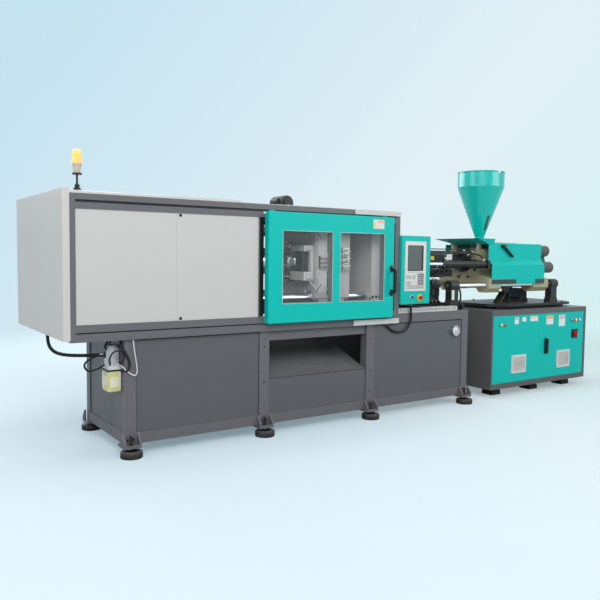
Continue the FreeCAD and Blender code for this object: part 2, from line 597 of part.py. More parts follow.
def turned(body, points, axis_x, axis_y):
    """A body of revolution: points are (radius, height) about a vertical axis."""
    sketch = new_sketch(body, "XZ", axis_y)
    polygon(sketch, [(as_size(axis_x) + radius, height) for radius, height in points])
    low, high = as_size(points[0][1]), as_size(points[2][1])
    line = sketch.addGeometry(Part.LineSegment(
        FreeCAD.Vector(as_size(axis_x).value, low.value, 0),
        FreeCAD.Vector(as_size(axis_x).value, high.value, 0)), True)
    pin_point(sketch, line, 1, (axis_x, low))
    pin_point(sketch, line, 2, (axis_x, high))
    feature = body.newObject("PartDesign::Revolution", "turned")
    feature.Profile = sketch
    feature.ReferenceAxis = (sketch, ["Axis0"])
    feature.Angle = 360
    return feature


def edges_along(shape, direction, test):
    """Names of straight edges along a direction whose middle passes the test."""
    names = []
    for number, edge in enumerate(shape.Edges, start=1):
        if len(edge.Vertexes) != 2 or not isinstance(edge.Curve, Part.Line):
            continue
        way = edge.Vertexes[1].Point - edge.Vertexes[0].Point
        if way.Length < 1e-6 or way.normalize().cross(direction).Length > 1e-4:
            continue
        if test(edge.CenterOfMass):
            names.append(f"Edge{number}")
    return names


def soften(body, kind, size, direction, test=lambda middle: True):
    """Fillet or chamfer the chosen straight edges of the body's last feature."""
    doc.recompute()
    tip = body.Tip
    names = edges_along(tip.Shape, FreeCAD.Vector(*direction), test)
    feature = body.newObject("PartDesign::" + kind, kind.lower())
    feature.Base = (tip, names)
    prop = "Radius" if kind == "Fillet" else "Size"
    setattr(feature, prop, as_size(size).value)
    bind(feature, prop, size)
    return feature


def node(name, thing):
    """The finished sub-part: its name, and its place about the machine's middle."""
    if thing.TypeId not in ("PartDesign::Body", "Part::MultiFuse", "Part::Cut",
                            "Part::Compound"):
        thing = group(name, [thing])
    thing.Label = name
    put(thing, -middle_x, -middle_y, as_size(0))
    NODES.append(thing)
    return thing


def heading(elevation, azimuth):
    """A direction: azimuth is 0 towards the operator and 90 towards the hopper."""
    up, round_z = math.radians(elevation), math.radians(azimuth)
    return FreeCAD.Vector(math.cos(up) * math.sin(round_z),
                          -math.cos(up) * math.cos(round_z), math.sin(up))


def route(start, steps):
    """Corner points of a cord: each step is a run and the way it leads."""
    points = [FreeCAD.Vector(*[as_size(item).value for item in start])]
    for run, elevation, azimuth in steps:
        points.append(points[-1] + heading(elevation, azimuth) * run)
    return points


def cord(name, points, radius):
    """A tube along straight runs joined by the largest tangent arcs they allow."""
    edges, place, length = [], points[0], 0
    for before, corner, after in zip(points, points[1:], points[2:]):
        run = min((corner - before).Length, (after - corner).Length)
        way_in = (corner - before).normalize()
        way_out = (after - corner).normalize()
        turn = way_in.getAngle(way_out)
        reach = 0.45 * run
        bend = reach / math.tan(turn / 2)
        print(name, "bend radius", round(bend), "over", round(math.degrees(turn)), "degrees")
        enter, leave = corner - way_in * reach, corner + way_out * reach
        inward = (way_out - way_in).normalize()
        centre = corner + inward * (bend / math.cos(turn / 2))
        middle = centre - inward * bend
        edges.append(Part.LineSegment(place, enter).toShape())
        edges.append(Part.Arc(enter, middle, leave).toShape())
        length += (enter - place).Length + bend * turn
        place = leave
    edges.append(Part.LineSegment(place, points[-1]).toShape())
    length += (points[-1] - place).Length
    section = Part.Wire([Part.makeCircle(radius, points[0], points[1] - points[0])])
    tube = Part.Wire(edges).makePipeShell([section], True, False)
    share = tube.Volume / (math.pi * radius ** 2 * length)
    print(name, "length", round(length), "volume share", round(share, 4))
    feature = doc.addObject("Part::Feature", name)
    feature.Shape = tube
    return feature


def gland_on(name, point, way, radius, length):
    """A short round gland from a cord's end along its last run."""
    piece = doc.addObject("Part::Cylinder", name)
    piece.Radius = as_size(radius).value
    piece.Height = as_size(length).value
    bind(piece, "Radius", radius)
    bind(piece, "Height", length)
    piece.Placement = FreeCAD.Placement(
        point, FreeCAD.Rotation(FreeCAD.Vector(0, 0, 1), way))
    return piece


# ------------------------------------------------------------ places worked out

middle_x = (s.cabinet_right - s.end_cover_width) / 2
middle_y = (s.guard_back + 0) / 2
bed_posts = [
    (s.bed_left, s.bed_left + s.post_width),
    (s.post_two, s.post_two + s.inner_post_width),
    (s.post_three, s.post_three + s.inner_post_width),
    (s.bed_right - s.post_width, s.bed_right),
]
tie_y = [s.axis_y - s.tie_spread, s.axis_y + s.tie_spread]
tie_z = [s.axis_z - s.tie_spread, s.axis_z + s.tie_spread]
foot_y = [s.axis_y - s.platen_foot_spread, s.axis_y + s.platen_foot_spread]
rod_y = [s.axis_y - s.rod_spread, s.axis_y + s.rod_spread]
track_low = s.high_rail_top
track_high = s.high_rail_top + s.track_slot
rail_low = s.guard_bottom + s.low_beam
cable_route = route((s.cable_x, s.cable_y, s.panel_low - s.gland_length), [
    (55, -90, 90), (72, -83, 90), (76, -65, -90), (78, -32, -90), (84, 0, -90),
    (84, 23, -90), (58, 45, -90)])
conduit_route = route((s.conduit_x, s.conduit_y, s.guard_bottom - s.gland_length), [
    (57, -90, 0), (60, -55, 23), (75, -20, 23), (110, -2, 23), (140, 4, 23),
    (117, 6, 26.5), (80, 6.4, 37)])


# ------------------------------------------------------------------------- bed

def make_bed():
    low = (s.bed_bottom, s.bed_bottom + s.low_beam_height)
    high = (s.bed_top - s.high_beam_height, s.bed_top)
    deck = (s.bed_top, s.rail_deck)
    front_post = (s.bed_front, s.bed_front + s.post_depth)
    back_post = (s.bed_back - s.post_depth, s.bed_back)
    beam_front = (s.bed_front + s.high_beam_inset,
                  s.bed_front + s.high_beam_inset + s.high_beam_depth)
    beam_back = (s.bed_back - s.high_beam_inset - s.high_beam_depth,
                 s.bed_back - s.high_beam_inset)
    members = []
    for place in bed_posts:
        members.append(block("post", place, front_post, (s.bed_bottom, s.bed_top)))
        members.append(block("post", place, back_post, (s.bed_bottom, s.bed_top)))
        members.append(block("cross", place, (front_post[1], back_post[0]), low))
        members.append(block("cross", place, (front_post[1], back_post[0]), high))
    for left, right in zip(bed_posts, bed_posts[1:]):
        bay = (left[1], right[0])
        members += [
            block("beam", bay, (s.bed_front, s.bed_front + s.low_beam_depth), low),
            block("beam", bay, (s.bed_back - s.low_beam_depth, s.bed_back), low),
            block("beam", bay, beam_front, high), block("beam", bay, beam_back, high)]
    right = (s.guard_right, s.bed_right)
    members.append(block("deck_rail", right, front_post, deck))
    members.append(block("deck_rail", right, back_post, deck))
    for place in ((s.guard_right, s.guard_right + s.post_width), bed_posts[3]):
        members.append(block("deck_cross", place, (front_post[1], back_post[0]), deck))
    members.append(block("chute_beam", (bed_posts[1][1], bed_posts[2][0]),
                         (s.chute_beam_front, s.chute_beam_front + s.chute_beam_depth),
                         (s.chute_beam_low, s.chute_beam_low + s.chute_beam_height)))
    members.append(block("lube_back", (s.bed_left - s.lube_plate, s.bed_left),
                         (s.lube_plate_front, s.lube_plate_back),
                         (s.lube_plate_low, s.lube_plate_high)))
    members += [block("way", (s.way_left, s.way_right), (y - s.way_half, y + s.way_half),
                      (s.bed_top, s.bed_top + s.way_height)) for y in foot_y]
    node("bed_frame", group("bed_frame_members", members + foot_brackets()))

    front = (beam_front[0] - s.bed_sheet, beam_front[0])
    back = (beam_back[1], beam_back[1] + s.bed_sheet)
    sheet_z = (low[1], s.bed_sheet_top)
    bays = [(bed_posts[i][1] + s.sheet_slit, bed_posts[i + 1][0] - s.sheet_slit)
            for i in range(3)]
    ends = [(s.bed_left + s.end_sheet_inset, s.bed_left + s.end_sheet_inset + s.bed_sheet),
            (s.bed_right - s.end_sheet_inset - s.bed_sheet, s.bed_right - s.end_sheet_inset)]
    sheets = [block("sheet", bays[0], front, sheet_z),
              block("sheet", bays[1], front, (low[1], s.chute_sill)),
              block("sheet", bays[2], front, sheet_z)]
    sheets += [block("sheet", bay, back, sheet_z) for bay in bays]
    sheets += [block("sheet", end, (front_post[1], back_post[0]), (low[1], high[0]))
               for end in ends]
    chute = new_body("chute")
    foot = (beam_front[0], s.chute_sill - s.chute_sheet)
    head = (beam_back[0], s.chute_back)
    pad(chute, "YZ", bed_posts[1][1], bed_posts[2][0], lambda sketch: polygon(sketch, [
        foot, (head[0], head[1] - s.chute_sheet), head, (foot[0], foot[1] + s.chute_sheet)]))
    node("bed_panels", group("bed_panel_set", sheets + [chute]))


def make_feet():
    feet = []
    for post in bed_posts:
        x = (post[0] + post[1]) / 2
        for side, face in ((-1, s.bed_front), (1, s.bed_back)):
            y = face + s.foot_out * side
            base = rod("pad_base", "Z", (x, y, 0), s.foot_radius, s.foot_height * 0.45)
            cap = cone("pad_cap", "Z", (x, y, s.foot_height * 0.45), s.foot_radius,
                       s.foot_radius * 0.55, s.foot_height * 0.55)
            stud = rod("stud", "Z", (x, y, s.foot_height), s.stud_radius,
                       s.stud_top - s.foot_height)
            nuts = [rod("nut", "Z", (x, y, level), s.nut_radius, s.nut_height)
                    for level in (s.bed_bottom, s.bed_bottom - s.foot_plate - s.nut_height)]
            feet.append(fuse("levelling_foot", [base, cap, stud] + nuts))
    node("levelling_feet", group("levelling_foot_set", feet))


def foot_brackets():
    """A bored plate with two ribs under the foot of every post."""
    plates = []
    plate = (s.bed_bottom - s.foot_plate, s.bed_bottom)
    for post in bed_posts:
        x = (post[0] + post[1]) / 2
        for side, face in ((-1, s.bed_front), (1, s.bed_back)):
            y = face + s.foot_out * side
            out, deep = face + s.foot_plate_out * side, face - s.post_depth * side
            span = (out, deep) if side < 0 else (deep, out)
            flat = block("foot_plate", (x - s.foot_plate_half, x + s.foot_plate_half),
                         span, plate)
            welded = [cut("foot_plate_bored", flat, [
                rod("stud_hole", "Z", (x, y, s.bed_bottom - s.foot_plate),
                    s.stud_radius + s.running, s.foot_plate)])]
            for edge in (-1, 1):
                left = x + s.foot_plate_half * edge
                left = left - s.gusset if edge > 0 else left
                rib = new_body("gusset")
                pad(rib, "YZ", left, left + s.gusset, lambda sketch: polygon(sketch, [
                    (face, s.bed_bottom), (out, s.bed_bottom),
                    (out, s.bed_bottom + s.foot_plate), (face, s.bed_bottom + s.gusset_height)]))
                welded.append(rib)
            plates.append(fuse("foot_bracket", welded))
    return plates


# ----------------------------------------------------------------------- guard

def guard_side(front):
    """The tubes of one long side; front gives its outer plane, tubes lie inside it."""
    back_side = front is s.guard_back
    wall = (s.guard_back - s.guard_tube, s.guard_back) if back_side else (0, s.guard_tube)
    deep = (s.guard_back - s.guard_tube, s.guard_back - s.slot_depth) if back_side else \
        (s.slot_depth, s.guard_tube)
    whole = (as_size(0), s.guard_right)
    inside = (s.left_band, s.guard_right - s.right_post)
    gate = s.door_gate_left + s.door_gate_band
    return [
        block("beam", whole, wall, (s.guard_bottom, rail_low)),
        block("beam", whole, wall, (track_high, s.guard_top)),
        block("post", (as_size(0), s.left_band), wall, (rail_low, track_high)),
        block("post", (s.guard_right - s.right_post, s.guard_right), wall,
              (rail_low, track_high)),
        block("rail", inside, wall, (rail_low + s.low_slot, s.low_rail_top)),
        block("slot_back", inside, deep, (rail_low, rail_low + s.low_slot)),
        block("rail", inside, wall, (s.high_rail_low, s.high_rail_top)),
        block("slot_back", inside, deep, (track_low, track_high)),
        block("gate_post", (s.door_gate_left, gate + s.door_gate_band * 5),
              deep, (s.low_rail_top, s.high_rail_low)),
        block("gate_band", (s.door_gate_left, gate), wall, (s.low_rail_top, s.high_rail_low)),
    ]


def make_guard():
    pieces = guard_side(as_size(0)) + guard_side(s.guard_back)
    between = (s.guard_tube, s.guard_back - s.guard_tube)
    for x in ((as_size(0), s.guard_tube), (s.guard_right - s.guard_tube, s.guard_right)):
        pieces.append(block("cross", x, between, (s.guard_bottom, rail_low)))
        pieces.append(block("cross", x, between, (s.guard_top - s.guard_tube, s.guard_top)))
    pieces.append(block("cross", (s.top_cover_right - s.guard_tube, s.top_cover_right),
                        between, (s.guard_top - s.guard_tube, s.guard_top)))
    pieces.append(block("cross", (s.roof_motor_left, s.roof_motor_left + s.guard_tube),
                        between, (s.guard_top - s.guard_tube, s.guard_top)))
    way = cable_route[-1] - cable_route[-2]
    pieces.append(gland_on("cable_gland", cable_route[-1], way, s.gland_radius,
                           s.gland_length * 2))
    pieces.append(rod("conduit_gland_piece", "Z", (
        s.conduit_x, s.conduit_y, s.guard_bottom - s.gland_length), s.conduit_gland,
        s.gland_length))
    node("guard_frame", fuse("guard_frame_solid", pieces))

    inset, thick = s.guard_sheet_inset, s.guard_sheet
    span_z = (s.low_rail_top, s.high_rail_low)
    sheets = []
    for y in ((inset, inset + thick),
              (s.guard_back - inset - thick, s.guard_back - inset)):
        sheets.append(block("sheet", (s.left_band, s.guard_sheet_split - s.sheet_gap / 2),
                            y, span_z))
        sheets.append(block("sheet", (s.guard_sheet_split + s.sheet_gap / 2,
                                      s.door_gate_left), y, span_z))
    sheets.append(block("sheet", (s.guard_right - thick * 2, s.guard_right - thick),
                        (s.back_sheet_front, s.guard_back - s.guard_tube),
                        (rail_low, s.guard_top - s.guard_tube)))
    sheets.append(block("roof_sheet", (s.top_cover_right, s.guard_right),
                        (as_size(0), s.guard_back), (s.guard_top, s.guard_top + s.top_sheet)))
    node("guard_panels", group("guard_panel_set", sheets))

    cover = new_body("roof_cover")
    pad(cover, "YZ", as_size(0), s.top_cover_right, lambda sketch: polygon(sketch, [
        (as_size(0), s.guard_top), (s.guard_back, s.guard_top),
        (s.guard_back, s.guard_top + s.top_cover_height * 0.7),
        (s.guard_back - s.top_cover_height, s.guard_top + s.top_cover_height),
        (s.top_cover_height, s.guard_top + s.top_cover_height),
        (as_size(0), s.guard_top + s.top_cover_height * 0.7)]))
    end = new_body("end_cover")
    pad(end, "XY", s.end_cover_low, s.end_cover_top, lambda sketch: rectangle(
        sketch, (-s.end_cover_width, as_size(0)), (as_size(0), s.guard_back)))
    soften(end, "Fillet", s.end_cover_round, (0, 0, 1), lambda middle: middle.x < -1)
    node("guard_end_cover", end)

    caps = [block("cap", (s.cap_left, s.cap_right), (-s.cap_out, as_size(0)),
                  (s.cap_high, s.cap_high + s.cap_height)),
            block("cap", (s.cap_left, s.cap_right), (-s.cap_out, as_size(0)),
                  (s.cap_low, s.cap_low + s.cap_low_height))]
    node("guard_trim", group("guard_trim_set", [cover] + caps))


# ----------------------------------------------------------------- safety doors

def make_door(name, side):
    """A sliding safety door; side is -1 at the operator's side and +1 behind."""
    face = as_size(0) if side < 0 else s.guard_back
    near = face + s.door_gap * side
    far = near + s.door_depth * side
    span = (far, near) if side < 0 else (near, far)
    panel = new_body(name + "_shell")
    pad(panel, "XZ", span[0], span[1], lambda sketch: rectangle(
        sketch, (s.door_left, s.door_low), (s.door_right, s.door_high)))
    soften(panel, "Fillet", s.door_round, (0, 0, 1),
           lambda middle: abs(middle.y - far.value) < 1)
    windows = [(s.window_left, s.window_mid_left), (s.window_mid_right, s.window_right)]

    def draw_windows(sketch):
        for left, right in windows:
            rectangle(sketch, (left, s.window_low), (right, s.window_high))
    pocket(panel, "XZ", span[0], span[1], draw_windows)
    frame = s.window_frame
    hollow = (far - s.door_skin * side, near) if side < 0 else (near, far - s.door_skin * side)

    def draw_hollows(sketch):
        left, right = s.door_left + frame, s.door_right - frame
        rectangle(sketch, (left, s.door_low + frame), (right, s.window_low - frame))
        rectangle(sketch, (left, s.window_high + frame), (right, s.door_high - frame))
        upright = (s.window_low, s.window_high)
        rectangle(sketch, (left, upright[0]), (s.window_left - frame, upright[1]))
        rectangle(sketch, (s.window_mid_left + frame, upright[0]),
                  (s.window_mid_right - frame, upright[1]))
        rectangle(sketch, (s.window_right + frame, upright[0]), (right, upright[1]))
    pocket(panel, "XZ", hollow[0], hollow[1], draw_hollows)
    outer = far - s.pane_inset * side
    pane_y = (outer, outer + s.pane) if side < 0 else (outer - s.pane, outer)
    node(name + "_windows", group(name + "_pane_set", [
        block("pane", (left, right), pane_y, (s.window_low, s.window_high))
        for left, right in windows]))

    hangers = []
    for left in (s.door_left + s.hanger_inset,
                 s.door_right - s.hanger_inset - s.hanger_width):
        x = (left, left + s.hanger_width)
        tab = (face - s.hanger_sheet - s.door_gap, face - s.door_gap) if side < 0 else \
            (face + s.door_gap, face + s.door_gap + s.hanger_sheet)
        plate = block("hanger", x, tab, (s.door_high, s.door_high + s.track_slot * 0.6))
        middle = (x[0] + x[1]) / 2
        axle_z = s.door_high + s.track_slot * 0.3
        low = tab[1] if side < 0 else tab[0] - s.roller_width - s.door_gap * 3
        axle = rod("axle", "Y", (middle, low, axle_z), s.roller_pin,
                   s.roller_width + s.door_gap * 3)
        wheel_y = face + s.door_gap if side < 0 else face - s.door_gap - s.roller_width
        wheel_z = track_low + s.shoe_gap + s.roller_radius
        wheel = rod("wheel", "Y", (middle, wheel_y + s.door_gap, wheel_z),
                    s.roller_radius, s.roller_width - s.door_gap)
        hangers.append(fuse("hanger_set", [plate, axle, wheel]))
    grip = new_body(name + "_grip")
    bar = (s.grip_x, s.grip_x + s.grip_width)
    tip = far + s.grip_reach * side
    inner = tip - s.grip_bar * side
    pad(grip, "YZ", bar[0], bar[1], lambda sketch: polygon(sketch, [
        (far, s.grip_low), (tip - s.grip_bar * side, s.grip_low),
        (tip, s.grip_low + s.grip_bar), (tip, s.grip_high - s.grip_bar),
        (tip - s.grip_bar * side, s.grip_high), (far, s.grip_high),
        (far, s.grip_high - s.grip_foot), (inner, s.grip_high - s.grip_foot),
        (inner, s.grip_low + s.grip_foot), (far, s.grip_low + s.grip_foot)]))
    soften(grip, "Fillet", s.grip_width * 0.2, (0, 0, 1),
           lambda middle: abs(middle.y - tip.value) < 1)
    if side < 0:
        node(name + "_panel", fuse(name + "_solid", [panel] + hangers))
        node(name + "_handle", grip)
    else:
        node(name + "_panel", fuse(name + "_solid", [panel, grip] + hangers))


# ----------------------------------------------------------------------- clamp

def platen_outline(sketch):
    """Square platen face with cut corners, seen along the machine."""
    low_y, high_y = s.axis_y - s.platen_half, s.axis_y + s.platen_half
    low_z, high_z = s.axis_z - s.platen_half, s.axis_z + s.platen_half
    c = s.platen_corner
    polygon(sketch, [(low_y + c, low_z), (high_y - c, low_z), (high_y, low_z + c),
                     (high_y, high_z - c), (high_y - c, high_z), (low_y + c, high_z),
                     (low_y, high_z - c), (low_y, low_z + c)])


def tie_holes(sketch):
    for y in tie_y:
        for z in tie_z:
            circle(sketch, (y, z), s.tie_radius + s.running)


def platen_feet(body, left, right, bottom):
    for y in foot_y:
        pad(body, "YZ", left, right, lambda sketch: rectangle(
            sketch, (y - s.platen_foot_half, bottom),
            (y + s.platen_foot_half, s.axis_z - s.platen_half + s.platen_corner)))


def tap_holes(sketch):
    half = s.tap_spacing / 2
    for y in (s.axis_y - half, s.axis_y + half):
        for z in (s.axis_z - half, s.axis_z + half):
            circle(sketch, (y, z), s.tap_radius)


def make_fixed_platen():
    body = new_body("fixed_casting")
    pad(body, "YZ", s.fixed_left, s.fixed_right, platen_outline)
    foot_left = s.fixed_left + (s.fixed_right - s.fixed_left - s.fixed_foot) / 2 \
        - s.fixed_foot_shift
    platen_feet(body, foot_left, foot_left + s.fixed_foot, s.bed_top)
    pocket(body, "YZ", s.fixed_left, s.fixed_right, tie_holes)
    pocket(body, "YZ", s.fixed_left, s.fixed_left + s.ring_depth,
           lambda sketch: circle(sketch, (s.axis_y, s.axis_z), s.ring_radius))
    pocket(body, "YZ", s.fixed_left, s.fixed_right,
           lambda sketch: circle(sketch, (s.axis_y, s.axis_z), s.sprue_radius))
    pocket(body, "YZ", s.fixed_left + s.ring_depth * 3, s.fixed_right,
           lambda sketch: circle(sketch, (s.axis_y, s.axis_z), s.cone_radius))
    pocket(body, "YZ", s.fixed_left, s.fixed_left + s.tap_depth, tap_holes)
    node("fixed_platen", body)


def make_moving_platen():
    body = new_body("moving_casting")
    pad(body, "YZ", s.moving_left, s.moving_right, platen_outline)
    way_top = s.bed_top + s.way_height
    inset = s.moving_web / 2
    platen_feet(body, s.moving_left + inset, s.moving_right - inset, way_top + s.shoe_gap)
    pocket(body, "YZ", s.moving_left, s.moving_right, tie_holes)
    pocket(body, "YZ", s.moving_left, s.moving_right - s.moving_web,
           lambda sketch: circle(sketch, (s.axis_y, s.axis_z), s.moving_pocket))
    pocket(body, "YZ", s.moving_left, s.moving_right,
           lambda sketch: circle(sketch, (s.axis_y, s.axis_z),
                                 s.ejector_rod_radius + s.running))
    pocket(body, "YZ", s.moving_right - s.tap_depth, s.moving_right, tap_holes)
    middle = (s.side_slot_left + s.side_slot_right) / 2
    half = (s.side_slot_right - s.side_slot_left) / 2
    pocket(body, "XZ", s.axis_y - s.platen_half, s.axis_y + s.platen_half,
           lambda sketch: stadium(sketch, s.side_slot_low, s.side_slot_high, middle, half))
    web = s.moving_right - s.moving_web
    at = (s.axis_y, s.axis_z)
    left = web - s.ejector_cylinder_length
    ring = rod("ejector_barrel", "X", (left, *at), s.ejector_cylinder_radius,
               s.ejector_cylinder_length)
    hole = rod("ejector_bore", "X", (left, *at), s.ejector_rod_radius + s.running,
               s.ejector_cylinder_length)
    barrel = cut("ejector_barrel_bored", ring, [hole])
    node("moving_platen", fuse("moving_platen_solid", [body, barrel]))


def make_tail_platen():
    body = new_body("tail_casting")
    pad(body, "YZ", s.tail_left, s.tail_right, platen_outline)
    foot_left = s.tail_left + (s.tail_right - s.tail_left - s.fixed_foot) / 2
    platen_feet(body, foot_left, foot_left + s.fixed_foot, s.bed_top)
    pocket(body, "YZ", s.tail_left, s.tail_right, tie_holes)
    centre = (s.axis_y, s.axis_z)
    pad(body, "YZ", s.cylinder_left, s.tail_left,
        lambda sketch: circle(sketch, centre, s.cylinder_radius))
    pad(body, "YZ", s.tail_right, s.tail_right + s.gland_width,
        lambda sketch: circle(sketch, centre, s.ram_gland_radius))
    pocket(body, "YZ", s.cylinder_left + s.cylinder_end, s.tail_right,
           lambda sketch: circle(sketch, centre, s.bore_radius))
    pocket(body, "YZ", s.tail_right, s.tail_right + s.gland_width,
           lambda sketch: circle(sketch, centre, s.ram_radius + s.running))
    node("tail_platen", body)


def make_ties_and_ram():
    bars = [rod("tie", "X", (s.tie_left, y, z), s.tie_radius, s.tie_right - s.tie_left)
            for y in tie_y for z in tie_z]
    node("tie_bars", group("tie_bar_set", bars))
    nuts = []
    for y in tie_y:
        for z in tie_z:
            for x in (s.fixed_right, s.tail_left - s.tie_nut):
                ring = rod("nut", "X", (x, y, z), s.tie_nut_radius, s.tie_nut)
                hole = rod("nut_hole", "X", (x, y, z), s.tie_radius + s.running, s.tie_nut)
                nuts.append(cut("tie_nut", ring, [hole]))
    node("tie_nuts", group("tie_nut_set", nuts))

    at = (s.axis_y, s.axis_z)
    flange_left = s.moving_left - s.ram_flange
    pieces = [
        rod("piston", "X", (s.piston_left, *at), s.bore_radius - s.running, s.piston_width),
        rod("ram_bar", "X", (s.piston_left, *at), s.ram_radius, flange_left - s.piston_left),
        rod("ram_flange", "X", (flange_left, *at), s.ram_flange_radius, s.ram_flange)]
    for step in range(12):
        angle = math.radians(30 * step + 15)
        pieces.append(rod("bolt", "X", (
            flange_left - s.flange_bolt_head,
            s.axis_y + s.flange_bolt_circle * math.cos(angle) * 0.85,
            s.axis_z + s.flange_bolt_circle * math.sin(angle) * 0.85),
            s.flange_bolt_radius, s.flange_bolt_head))
    node("clamp_ram", fuse("clamp_ram_solid", pieces))


def make_ejector():
    at = (s.axis_y, s.axis_z)
    web = s.moving_right - s.moving_web
    left = web - s.ejector_cylinder_length
    back = left - s.ejector_plate * 6.5
    node("ejector_rod", fuse("ejector_rod_solid", [
        rod("pin", "X", (back, *at), s.ejector_rod_radius, s.moving_right - back),
        rod("plate", "X", (back, *at), s.ejector_plate_radius, s.ejector_plate)]))

    face = s.axis_y - s.platen_half
    x = (s.manifold_left, s.manifold_left + s.manifold_width)
    body = block("manifold_block", x, (face - s.manifold_depth, face),
                 (s.manifold_low, s.manifold_low + s.manifold_height))
    nipples = [rod("nipple", "Y", ((x[0] + x[1]) / 2, face - s.manifold_depth - s.nipple_length,
                                   s.manifold_low + s.nipple_pitch * (row + 0.67)),
                   s.nipple_radius, s.nipple_length) for row in range(6)]
    node("water_manifold", fuse("water_manifold_solid", [body] + nipples))


# --------------------------------------------------------------- operator panel

def make_operator_panel():
    box = new_body("panel_box")
    left = s.guard_right
    back = s.panel_front + s.panel_depth
    pad(box, "XZ", s.panel_front, back, lambda sketch: rectangle(
        sketch, (left, s.panel_low), (s.panel_right, s.panel_high)))
    soften(box, "Fillet", s.panel_round, (0, 0, 1), lambda middle: middle.y < 0)
    pocket(box, "XZ", s.panel_front, s.panel_front + s.stop_radius * 0.6,
           lambda sketch: circle(sketch, (s.stop_x, s.stop_z),
                                 s.stop_radius * 0.6 + s.running))
    gland = rod("panel_gland", "Z", (s.cable_x, s.cable_y, s.panel_low - s.gland_length),
                s.gland_radius, s.gland_length)
    node("operator_panel_box", fuse("panel_box_solid", [box, gland]))

    out = s.panel_front - s.bezel_out
    bezel = new_body("bezel_plate")
    pad(bezel, "XZ", out, s.panel_front, lambda sketch: rectangle(
        sketch, (s.bezel_left, s.bezel_low), (s.bezel_right, s.bezel_high)))
    pocket(bezel, "XZ", out, out + s.screen_inset, lambda sketch: rectangle(
        sketch, (s.screen_left, s.screen_low), (s.screen_right, s.screen_high)))
    keys = [bezel]
    for row in range(8):
        for column in range(12):
            if row < 2 and column in (4, 8):
                continue
            x = s.key_left + s.key_pitch_x * column
            z = s.key_low + s.key_pitch_z * row
            keys.append(block("key", (x, x + s.key_width), (out - s.key_out, out),
                              (z, z + s.key_height)))
    node("operator_panel_bezel", fuse("bezel_solid", keys))

    at = (s.selector_x, s.panel_front - s.selector_radius * 0.4, s.selector_z)
    collar = rod("collar", "Y", at, s.selector_radius, s.selector_radius * 0.4)
    knob = rod("knob", "Y", (at[0], at[1] - s.selector_radius, at[2]),
               s.selector_radius * 0.85, s.selector_radius)
    wing = block("wing", (at[0] - s.selector_radius * 0.25, at[0] + s.selector_radius * 0.25),
                 (at[1] - s.selector_radius * 1.6, at[1] - s.selector_radius),
                 (at[2] - s.selector_radius * 0.8, at[2] + s.selector_radius * 0.8))
    node("selector_knob", fuse("selector_solid", [knob, wing]))

    ring_out = s.stop_radius * 0.3
    ring = rod("stop_plate", "Y", (s.stop_x, s.panel_front - ring_out, s.stop_z),
               s.stop_ring_radius, ring_out)
    hole = rod("stop_hole", "Y", (s.stop_x, s.panel_front - ring_out, s.stop_z),
               s.stop_radius * 0.6 + s.running, ring_out)
    node("panel_switch_rings", group("switch_ring_set", [
        collar, cut("stop_ring", ring, [hole])]))
    stem_out = s.stop_radius * 1.1
    stem = rod("stop_stem", "Y", (s.stop_x, s.panel_front - stem_out, s.stop_z),
               s.stop_radius * 0.6, stem_out)
    head = cone("stop_head", "Y", (s.stop_x, s.panel_front - stem_out - s.stop_radius * 0.5,
                                   s.stop_z), s.stop_radius * 0.8, s.stop_radius,
                s.stop_radius * 0.5)
    node("stop_button", fuse("stop_button_solid", [stem, head]))


# ------------------------------------------------- small units about the guard

def make_signal_lamp():
    x, y = s.lamp_x, s.lamp_y
    base_z = s.guard_top + s.top_cover_height
    base = cone("lamp_foot", "Z", (x, y, base_z), s.lamp_base_radius,
                s.lamp_base_radius * 0.6, s.lamp_base)
    ball_z = base_z + s.lamp_base + s.lamp_ball * 0.7
    ball = doc.addObject("Part::Sphere", "lamp_joint")
    ball.Radius = s.lamp_ball.value
    bind(ball, "Radius", s.lamp_ball)
    put(ball, x, y, ball_z)
    pole = rod("lamp_pole", "Z", (x, y, ball_z), s.lamp_pole_radius,
               s.lamp_low - s.lamp_cap - ball_z)
    cup = rod("lamp_cup", "Z", (x, y, s.lamp_low - s.lamp_cap), s.lamp_radius * 1.05,
              s.lamp_cap)
    node("signal_lamp_stem", fuse("lamp_stem_solid", [base, ball, pole, cup]))
    lens = rod("lens", "Z", (x, y, s.lamp_low), s.lamp_radius, s.lamp_high - s.lamp_low)
    node("signal_lamp_lens", lens)


def make_roof_motor():
    floor = s.guard_top + s.top_sheet
    x = (s.roof_motor_left, s.roof_motor_right)
    y = (s.roof_motor_front, s.roof_motor_front + s.roof_motor_depth)
    plate = block("roof_foot", x, y, (floor, floor + s.roof_plate))
    middle = (x[0] + x[1]) / 2
    drum = rod("roof_drum", "Y", (middle, y[0], s.roof_axis_z), s.roof_motor_radius,
               s.roof_motor_depth)
    trimmed = cut("roof_drum_flat", drum, [block(
        "below", (x[0], x[1]), y, (floor - s.roof_motor_radius, floor))])
    ears = []
    for angle in (20, 90, 160):
        way = math.radians(angle)
        ears.append(rod("roof_ear", "Y", (
            middle + s.roof_motor_radius * math.cos(way), y[0] + s.roof_motor_depth * 0.2,
            s.roof_axis_z + s.roof_motor_radius * math.sin(way) * 0.62),
            s.roof_motor_radius * 0.4, s.roof_motor_depth * 0.6))
    disc = rod("roof_disc", "Y", (middle, y[0] - s.roof_plate, s.roof_axis_z),
               s.roof_motor_radius * 0.55, s.roof_plate)
    node("roof_motor", fuse("roof_motor_solid", [plate, trimmed, disc] + ears))


